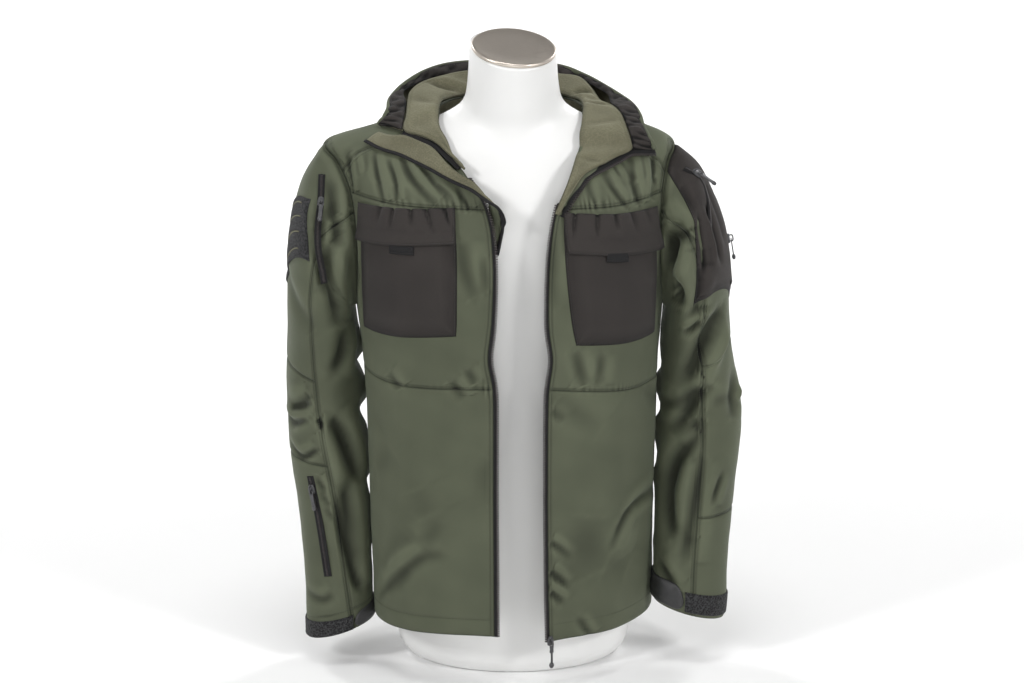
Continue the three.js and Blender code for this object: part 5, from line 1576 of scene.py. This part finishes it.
cloth_wall("hood", strip_cloth(hood_surface, 1, hood_relief), shares(0, LAST_NECK, 0.6, coarse=4 * MM),
           spaced(0.44, coarse=4 * MM), SHELL, "softshell", stitched=[("v0", 4 * MM), ("v0", 22 * MM)])


def brim_line(at):
    """The middle of the hood's turned hem, between its outer cloth and its facing."""
    low, low_way = standing(facing, at, 0 * at + 1)
    return low - low_way * HOOD_UNDER / 2


at = np.linspace(0.02, LAST_NECK - 0.02, 220)
hem = tube(brim_line(at), HOOD_UNDER / 2 + 1.1 * MM, sides=12)
new_piece("hood_hem", *hem, [softshell], "root", "softshell")


def flap_relief(at, share, points):
    """The storm flap's slow wave along it, none at its edges."""
    return 1.4 * MM * np.sin(1.6 * at + 1) * np.sin(np.pi * share) + 0.4 * MM


flap_surface = strip_cloth(strip(STORM_FLAP, "seam", "free"), -1, flap_relief)
flap_at = shares(0, len(STORM_FLAP) - 1, 0.3, coarse=3 * MM)
cloth_wall("storm_flap", flap_surface, flap_at, spaced(0.024, 2 * MM, 1.2 * MM, 4 * MM), [fleece, softshell],
           "softshell", thread="khaki", rests_on=["right_front_yoke"])

# Zips: tape, teeth, sliders

TOOTH = {"pitch": 3.3 * MM, "length": 4.2 * MM, "width": 2.0 * MM, "height": 2.6 * MM}
teeth_parts = []


def add_teeth(line, normals, across, reach):
    """A row of moulded teeth along a line: small rounded blocks that reach out beyond the tape."""
    points, _, stand = resample(line, normals, TOOTH["pitch"])
    out = resample(line, across, TOOTH["pitch"])[2]
    shape, faces = superbox((TOOTH["length"] / 2, TOOTH["width"] / 2, TOOTH["height"] / 2), 0.45, 10, 5)
    teeth_parts.append(scatter(shape, faces, points + out * reach, out, stand))


def lifted(cloth, lift):
    """The same cloth a little higher, for a tape that lies on it."""
    def raised(u, v):
        points, normals, relief = cloth(u, v)
        return points, normals, relief + lift

    return raised


ZIPPED_TO = {"left": CHEST_SEAM_Z + 8 * MM, "right": CHEST_SEAM_Z + 34 * MM}
for name, way in SIDES.items():
    levels = shares(HEM_Z, ZIPPED_TO[name], 0.6, coarse=4 * MM)
    outer, stand = add_trim(f"{name}_zip_tape", lifted(front(way), 0.2 * MM), np.linspace(0, EDGE_SHARE, 6), levels,
                            zip_tape, "zip_coil", rise=0.4 * MM, roll=0.8 * MM, held="stretched")
    across = unit(outer[0] - outer[2])
    add_teeth(outer[0], stand[0], across, 0.6 * MM)

ZIP_WIDTH = 9 * MM
LAPEL_FACING = np.array([0, -0.5, 0.86])  # forward and up, as the lapels lie
LAPEL_ZIP = {"inset": 2 * MM, "lift": 2.8 * MM}


def lapel_zip(name, line, way):
    """The zip runs on from the front edge along the lapel, beyond the collar's edge."""
    def cloth(at, share):
        """A flat band beside the line, square to the way the lapel faces."""
        along = unit(path(line, at + 0.01) - path(line, at - 0.01))
        across = way * unit(np.cross(along, LAPEL_FACING))
        middle = path(line, np.clip(at, 0, len(line) - 1))
        points = middle + across * (share[..., None] * ZIP_WIDTH - LAPEL_ZIP["inset"])
        return points, -way * unit(np.cross(across, along)), 0 * at + LAPEL_ZIP["lift"]

    at = shares(0, len(line) - 1, 0.22, coarse=3 * MM)
    return add_trim(f"{name}_lapel_zip", cloth, at, spaced(0.007, 1.4 * MM, 0.8 * MM, 2 * MM), zip_tape,
                    "zip_coil", rise=0.4 * MM, roll=0.8 * MM)


edges = line_of(COLLAR, "edge")
lapel_zip("right", edges[:BRIMMED[0] + 1], -1)
outer, stand = lapel_zip("left", [np.array(COLLAR[BRIMMED[-1]]["brim"]) * MM] + edges[BRIMMED[-1]:], -1)
add_teeth(outer[:, -1], stand[:, -1], unit(outer[:, -1] - outer[:, -3]), 0.8 * MM)

# The bound edge of the storm flap
binding_at = np.linspace(0, len(STORM_FLAP) - 1, 120)
free = path(line_of(STORM_FLAP, "free"), binding_at)
binding = tube(free + np.array([0, -0.8 * MM, 0.6 * MM]), 3.6 * MM, sides=12, flat=0.55)
new_piece("flap_binding", *binding, [zip_tape], "root", "zip_coil")

# Zips on the sleeves: lift and half width in millimetres, a line of angles and stations down the zip, and the
# slider's place along it
ZIPS = {
    "right_arm": {
        "way": -1, "lift": 1.4, "half": 4.5, "slider": 0.75,
        "line": [(33, 0.5), (58, 0.85), (78, 1.4), (94, 2.3)],
    },
    "right_forearm": {
        "way": -1, "lift": 1, "half": 5.5, "slider": 0.45,
        "line": [(61, 7.32), (65, 7.8), (70, 8.4), (75, 9.03)],
    },
    "left_arm_front": {
        "way": 1, "lift": 5.4, "half": 4, "slider": 0.6,
        "line": [(28, 0.6), (22, 1.2), (30, 1.8), (46, 2.3)],
    },
    "left_arm_rear": {
        "way": 1, "lift": 5.4, "half": 4, "slider": 1.6,
        "line": [(-8, 2.2), (0, 2.9), (4, 3.5), (8, 4.1)],
    },
}
COIL = {"pitch": 1.7 * MM, "half": (0.55 * MM, 1.7 * MM, 0.7 * MM)}  # the small teeth of a sleeve zip
SLIDER_SEAT = 0.6 * MM


def on_zip_line(zip_, at, height):
    """A point over the middle of a sleeve zip, on the frame's smooth sleeve."""
    corners = np.column_stack([np.array(zip_["line"], float), np.zeros(len(zip_["line"]))])
    place = path(corners, at)
    points, normals = standing(sleeve(zip_["way"]), place[..., 0], place[..., 1], zip_["way"])
    return points + normals * np.asarray(height)[..., None]


def zip_axes(zip_, at):
    """A zip's directions at places along it: across, back up the zip, and out from the cloth."""
    lift = zip_["lift"] * MM + TRIM
    up = unit(on_zip_line(zip_, at - 0.05, lift) - on_zip_line(zip_, at + 0.05, lift))
    out = unit(on_zip_line(zip_, at, lift + 1 * MM) - on_zip_line(zip_, at, lift))
    across = unit(np.cross(up, out))
    return across, up, unit(np.cross(across, up))


def add_sleeve_zip(name, zip_):
    """A sleeve zip's tape and the row of small teeth along its middle."""
    half = zip_["half"] * MM

    def cloth(at, share):
        """A band across the zip's line with a low ridge along its middle."""
        across, _, out = zip_axes(zip_, at)
        points = on_zip_line(zip_, at, (zip_["lift"] + 0.8) * MM) + across * ((share - 0.5) * 2 * half)[..., None]
        ribs = 0.5 * MM * np.exp(-(((share - 0.5) / 0.16) ** 2))
        return points, out, ribs

    add_trim(f"{name}_zip_tape", cloth, shares(0, len(zip_["line"]) - 1, 0.12, coarse=2 * MM, fine=1 * MM),
             spaced(2 * half, 1 * MM, 0.6 * MM, 2 * MM), zip_tape, "zip_coil", rise=0.4 * MM, roll=0.8 * MM)
    at = np.linspace(0.04, len(zip_["line"]) - 1.04, 60)
    middle = on_zip_line(zip_, at, (zip_["lift"] + 1.7) * MM)
    shape, faces = superbox(COIL["half"], 0.7, 8, 5)
    points, ways, stand = resample(middle, zip_axes(zip_, at)[2], COIL["pitch"])
    teeth_parts.append(scatter(shape, faces, points, ways, stand))


for name, zip_ in ZIPS.items():
    add_sleeve_zip(name, zip_)

# Sliders and pulls, in the slider's own axes: x across, y back up the zip, z off the tape
PIN = {"y": -1.4 * MM, "z": 4.7 * MM}
PLATE = np.array([4.5, 6.5, 1.0]) * MM  # half sizes of a slider's plates
BAIL = [  # y and z in millimetres, from the slider's top over the pin to its foot
    (3.9, 2.6), (4.2, 5.2), (3.2, 7.0), (1.0, 7.3), (-2.0, 7.2), (-3.7, 6.4), (-4.1, 4.6), (-3.8, 2.6),
]


def slider_shape():
    """Two plates with rounded edges, both narrowing towards the top, and a bail over them."""
    plate, faces = superbox(PLATE, 0.35, 24, 9)
    taper = 1 - 0.28 * np.clip(plate[:, 1] / PLATE[1], 0, 1)
    ones = np.ones_like(taper)
    lower = plate * np.stack([taper, ones, ones], 1) + (0, 0, 1.0 * MM)
    upper = plate * np.stack([0.92 * taper, ones * 0.96, ones * 0.8], 1) + (0, 0, 2.4 * MM)
    arch = np.array([(0, y, z) for y, z in BAIL]) * MM
    bail = tube(path(arch, np.linspace(0, len(BAIL) - 1, 29)), 0.95 * MM, sides=10, up=(1, 0, 0))
    return joined([(lower, faces), (upper, faces), bail])


def pull_shape(bar, knob, cord=0):
    """A ring round the bail's pin, a flat bar, a short cord and a moulded end with grip ribs."""
    start = PIN["y"] - 5 * MM
    end = start - bar
    around = np.linspace(0, 2 * np.pi, 33)[:-1]
    loop = np.column_stack([
        2.7 * MM * np.cos(around), PIN["y"] - 2.6 * MM + 3.4 * MM * np.sin(around), PIN["z"] + 0 * around,
    ])
    ring = tube(np.concatenate([loop, loop[:1]]), 0.75 * MM, sides=8)
    plate, faces = superbox((3.1 * MM, bar / 2 + 0.6 * MM, 0.85 * MM), 0.3, 24, 9)
    waist = 1 - 0.22 * np.exp(-((plate[:, 1] / (0.3 * bar)) ** 2))
    plate = plate * np.stack([waist, np.ones_like(waist), np.ones_like(waist)], 1) + (0, start - bar / 2, PIN["z"])
    parts = [ring, (plate, faces)]
    if cord:
        line = np.array([
            (0, end + 1.4 * MM, PIN["z"]), (0.3 * MM, end - cord / 2, PIN["z"]), (0, end - cord - 1 * MM, PIN["z"]),
        ])
        at = np.linspace(0, 2, 25)
        twist = 1.5 * MM * (1 + 0.06 * np.sin(at * 30))
        parts.append(tube(path(line, at), twist, sides=10))
    down = np.linspace(0, 1, 19)
    radius = knob * (0.45 + 0.55 * np.sin(np.pi * np.clip(0.12 + 0.8 * down, 0, 1))) * (1 + 0.09 * np.sin(down * 26))
    middle = np.column_stack([0 * down, end - cord + knob / 2 - 2 * knob * down, PIN["z"] + 0 * down])
    parts.append(tube(middle, radius, sides=14, flat=0.8))
    return joined(parts)


def in_axes(shape, origin, axes):
    """A shape moved from its own axes to a place on the jacket."""
    vertices, faces = shape
    return origin + vertices @ np.stack(axes), faces


def add_slider(slider, pull, body, origin, axes, **sizes):
    """A slider, which stays with the cloth, and its pull on a body of its own."""
    made = new_piece(slider, *in_axes(slider_shape(), origin, axes), [zip_metal], "root", "zip_metal")
    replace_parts(made, slider)
    made = new_piece(pull, *in_axes(pull_shape(**sizes), origin, axes), [zip_metal], body, "zip_metal")
    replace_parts(made, pull)


for name, zip_ in ZIPS.items():
    at = np.array(float(zip_["slider"]))
    axes = zip_axes(zip_, at)
    origin = on_zip_line(zip_, at, zip_["lift"] * MM + TRIM + SLIDER_SEAT)
    add_slider(f"{name}_slider", f"{name}_pull", f"{name}_pull_body", origin, axes, bar=18 * MM, knob=3.2 * MM)

SLIDER_Z = 78 * MM
SLIDER_TURN = 0.045
at = np.array(SLIDER_TURN)
base, away = standing(torso, at, level_height(at, SLIDER_Z))
away = unit(away * (1, 1, 0))
upright = np.array([0.0, 0, 1])
add_slider("zip_slider", "zip_pull", "main_pull", base + away * SLIDER_SEAT, (np.cross(upright, away), upright, away),
           bar=9 * MM, knob=3.4 * MM, cord=17 * MM)

new_piece("zip_teeth", *joined(teeth_parts), [zip_teeth], "root", "zip_coil")

# Sewing: each stitch is a small pointed bead of thread, along every stitched line

STITCH_SUNK = 0.2 * MM  # how far a stitch's ends sink, and how far its middle stands above the cloth
STITCH_STAND = 0.1 * MM


def add_sewing():
    """All stitches of each thread as one piece."""
    half = STITCH["length"] / 2
    ring = np.array([(0, 1, 0), (0, 0, 1), (0, -1, 0), (0, 0, -1)]) * STITCH["width"] / 2
    shoulder = (half * 0.45, 0, 0)
    shape = np.concatenate([
        [(-half, 0, -STITCH_SUNK)], ring - shoulder, ring + shoulder, [(half, 0, -STITCH_SUNK)],
    ])
    faces = [(0, 1 + (k + 1) % 4, 1 + k) for k in range(4)]
    faces += [(1 + k, 1 + (k + 1) % 4, 5 + (k + 1) % 4) for k in range(4)]
    faces += [(1 + k, 5 + (k + 1) % 4, 5 + k) for k in range(4)]
    faces += [(9, 5 + k, 5 + (k + 1) % 4) for k in range(4)]
    for colour, look in threads.items():
        parts = []
        for line, normals, thread in seams:
            if thread == colour and len(line) > 2:
                points, ways, stand = resample(line, normals, STITCH["pitch"])
                parts.append(scatter(shape, faces, points + stand * STITCH_STAND, ways, stand))
        slot = {"green": "softshell", "black": "pack_cloth", "khaki": "fleece"}[colour]
        new_piece(f"{colour}_sewing", *joined(parts), [look], "root", slot)


add_sewing()

# The dress form: smooth sections by height, then its steel neck cap

FORM_SIDES = 96
CAP = {"x": 0.7, "y": -14, "z": 853, "thick": 5, "roll": 5.4, "nod": 12.4}  # millimetres and degrees
CAP_PROFILE = [  # radius and height, from the middle of its top face over the rim to the middle of its foot
    (0, 5.0), (30, 5.0), (50.5, 5.0), (52.5, 5.35), (54.5, 5.2), (55.7, 4.3), (56, 3.0), (56, 1.0), (55.4, 0.2),
    (54, 0), (0, 0),
]
TILT_FROM_Z = 795 * MM
FORM = table(  # pinch narrows the oval's depth to a ridge, in thousandths
    "z half_x front back pinch",
    (0, 146, 100, 102, 0), (20, 158, 110, 112, 0), (110, 166, 116, 120, 0), (220, 160, 114, 116, 0),
    (330, 145, 108, 98, 0), (430, 146, 112, 94, 0), (530, 158, 118, 102, 0), (610, 170, 116, 108, 0),
    (665, 180, 102, 104, 0), (700, 185, 83, 92, 0), (720, 173, 73, 83, 300), (738, 137, 64, 72, 900),
    (750, 113, 60, 64, 1200), (762, 87, 60, 56, 800), (775, 68, 62, 50, 200), (795, 61, 64, 44, 0),
    (847.7, 57, 71, 43, 0),
)


def cap_rise(x, y):
    """How far the cap's tilted plane stands above its centre."""
    return (-math.tan(math.radians(CAP["roll"])) * (x - CAP["x"] * MM)
            + math.tan(math.radians(CAP["nod"])) * (y - CAP["y"] * MM))


def add_form():
    """Lofted sections: an oval whose depth narrows to a ridge over the shoulders, leaning up to the cap."""
    base_round = 6 * MM
    z = np.concatenate([np.linspace(0, base_round, 6), np.linspace(10 * MM, FORM["z"][-1], 190)])
    angle = np.linspace(0, 2 * np.pi, FORM_SIDES, endpoint=False)
    value = {name: column(FORM, "z", name, z)[:, None] for name in ("half_x", "front", "back", "pinch")}
    tuck = 3 * MM * (1 - np.sqrt(np.clip(1 - (1 - np.minimum(z / base_round, 1)) ** 2, 0, 1)))[:, None]
    flat = np.where(np.sin(angle) < 0, value["front"], value["back"]) - tuck
    power = np.clip(value["pinch"] / MM / 1000, 0, None)
    x = (value["half_x"] - tuck) * np.cos(angle)
    y = flat * np.sin(angle) * np.maximum(np.abs(np.sin(angle)), 1e-6) ** power
    lean = np.clip((z - TILT_FROM_Z) / (FORM["z"][-1] - TILT_FROM_Z), 0, 1)[:, None]
    points = np.stack([x, y, z[:, None] + lean * cap_rise(x, y)], -1)
    rows = len(z)
    index = np.arange(rows * FORM_SIDES).reshape(rows, FORM_SIDES)
    turned = np.roll(index, -1, 1)
    faces = np.stack([index[:-1], turned[:-1], turned[1:], index[1:]], -1).reshape(-1, 4).tolist()
    vertices = np.concatenate([points.reshape(-1, 3), [points[0].mean(0)], [points[-1].mean(0)]])
    low, high = len(vertices) - 2, len(vertices) - 1
    faces += [(low, turned[0, k], index[0, k]) for k in range(FORM_SIDES)]
    faces += [(high, index[-1, k], turned[-1, k]) for k in range(FORM_SIDES)]
    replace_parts(new_piece("dress_form", vertices, faces, [form_shell], "root", "form_shell"), "form_body")


def add_cap():
    """The cap is turned on a lathe: a flat face, a rolled bright rim and a short skirt."""
    profile = np.array(CAP_PROFILE) * MM
    angle = np.linspace(0, 2 * np.pi, FORM_SIDES, endpoint=False)
    ring = profile[1:-1]
    points = np.stack([ring[:, :1] * np.cos(angle), ring[:, :1] * np.sin(angle), ring[:, 1:] + 0 * angle], -1)
    vertices = np.concatenate([points.reshape(-1, 3), [(0, 0, profile[0, 1])], [(0, 0, 0)]])
    nod, roll = math.radians(CAP["nod"]), math.radians(CAP["roll"])
    about_x = np.array([[1, 0, 0], [0, math.cos(nod), -math.sin(nod)], [0, math.sin(nod), math.cos(nod)]])
    about_y = np.array([[math.cos(roll), 0, math.sin(roll)], [0, 1, 0], [-math.sin(roll), 0, math.cos(roll)]])
    vertices = vertices @ (about_y @ about_x).T + np.array([CAP["x"], CAP["y"], CAP["z"] - CAP["thick"]]) * MM
    faces = closed_rings(len(ring), FORM_SIDES)
    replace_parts(new_piece("neck_cap", vertices, faces, [brushed_steel], "root", "neck_cap"), "form_cap")


add_form()
add_cap()

# Studio: a pale floor that curves up far off on every side, soft lights, and the photo's view

FLOOR_REACH = 6.5  # metres of flat floor, the radius of the bend and the wall's top
FLOOR_BEND = 1.6
WALL_TOP = 6


def add_studio():
    """A round floor, flat at first, then a quarter circle up into a wall."""
    bend = np.linspace(0, np.pi / 2, 24)[1:]
    reach = np.concatenate([
        np.linspace(0.05, FLOOR_REACH, 24), FLOOR_REACH + FLOOR_BEND * np.sin(bend),
        np.full(6, FLOOR_REACH + FLOOR_BEND),
    ])[:, None]
    z = np.concatenate([np.zeros(24), FLOOR_BEND - FLOOR_BEND * np.cos(bend), np.linspace(2, WALL_TOP, 6)])[:, None]
    angle = np.linspace(0, 2 * np.pi, 73)[:-1]
    points = np.stack(np.broadcast_arrays(reach * np.cos(angle), reach * np.sin(angle), z), -1)
    faces, index, _ = ring_quads(*points.shape[:2])
    faces.append(tuple(int(k) for k in index[0]))
    mesh = bpy.data.meshes.new("studio_floor")
    mesh.from_pydata(points.reshape(-1, 3).tolist(), [], faces)
    look, tree, shader = start_look("studio_paint", 0.85)
    patch = placed(tree, VARIATION, Patch=0.7)
    tree.links.new(mix_colours(tree, patch.outputs["Shade"], (0.90, 0.90, 0.90), (0.93, 0.93, 0.93)),
                   shader.inputs["Base Color"])
    mesh.materials.append(look)
    mesh.polygons.foreach_set("use_smooth", np.full(len(mesh.polygons), True))
    floor = bpy.data.objects.new("studio_floor", mesh)
    bpy.context.scene.collection.objects.link(floor)


LOOK_AT = np.array([-0.0013, 0, 0.442])
BACKDROP = np.array([0, 4.2, 0.0])
LIGHTS = {  # place, target, width, power in watts
    "left": ((-2.7, -2.1, 2.5), LOOK_AT, 0.8, 58),
    "right": ((2.7, -2.2, 2.3), LOOK_AT, 0.8, 58),
    "top": ((0, -0.5, 3.2), LOOK_AT, 1.0, 24),
    "front": ((0, -4.4, 0.6), LOOK_AT, 1.0, 26),
    "backdrop_left": ((-2.6, 3.0, 2.8), BACKDROP, 1.4, 120),
    "backdrop_right": ((2.6, 3.0, 2.8), BACKDROP, 1.4, 120),
}


def aimed(place, target):
    """Rotation that points an object's -Z from a place to a target, its Y upwards."""
    back = unit(np.asarray(place, float) - target)
    side = unit(np.cross([0, 0, 1.0], back))
    turned = np.stack([side, np.cross(back, side), back], 1)
    matrix = np.eye(4)
    matrix[:3, :3], matrix[:3, 3] = turned, place
    return matrix.tolist()


def add_lights():
    """Soft round lamps that the camera doesn't see, and a dim even sky."""
    for name, (place, target, width, power) in LIGHTS.items():
        light = bpy.data.lights.new(name, "AREA")
        light.shape, light.size, light.energy = "DISK", width, power
        lamp = bpy.data.objects.new(name, light)
        lamp.matrix_world = Matrix(aimed(place, target))
        lamp.visible_camera = False
        bpy.context.scene.collection.objects.link(lamp)
    world = bpy.data.worlds.new("studio")
    world.use_nodes = True
    world.node_tree.nodes["Background"].inputs["Color"].default_value = (1, 1, 1, 1)
    world.node_tree.nodes["Background"].inputs["Strength"].default_value = 0.14
    bpy.context.scene.world = world


def add_camera():
    """The photo's view: 18 degrees down from 4.5 m away, framed to a 1024 by 683 picture."""
    elevation, distance, focal_px, width_px = math.radians(18), 4.5, 3333, 1024
    data = bpy.data.cameras.new("view")
    data.sensor_fit, data.sensor_width = "HORIZONTAL", 36
    data.lens = data.sensor_width * focal_px / width_px
    camera = bpy.data.objects.new("view", data)
    camera.location = (LOOK_AT[0], -distance * math.cos(elevation), LOOK_AT[2] + distance * math.sin(elevation))
    camera.rotation_euler = (math.pi / 2 - elevation, 0, 0)
    bpy.context.scene.collection.objects.link(camera)
    bpy.context.scene.camera = camera


add_studio()
add_lights()
add_camera()
bpy.context.scene.view_settings.view_transform = "Standard"
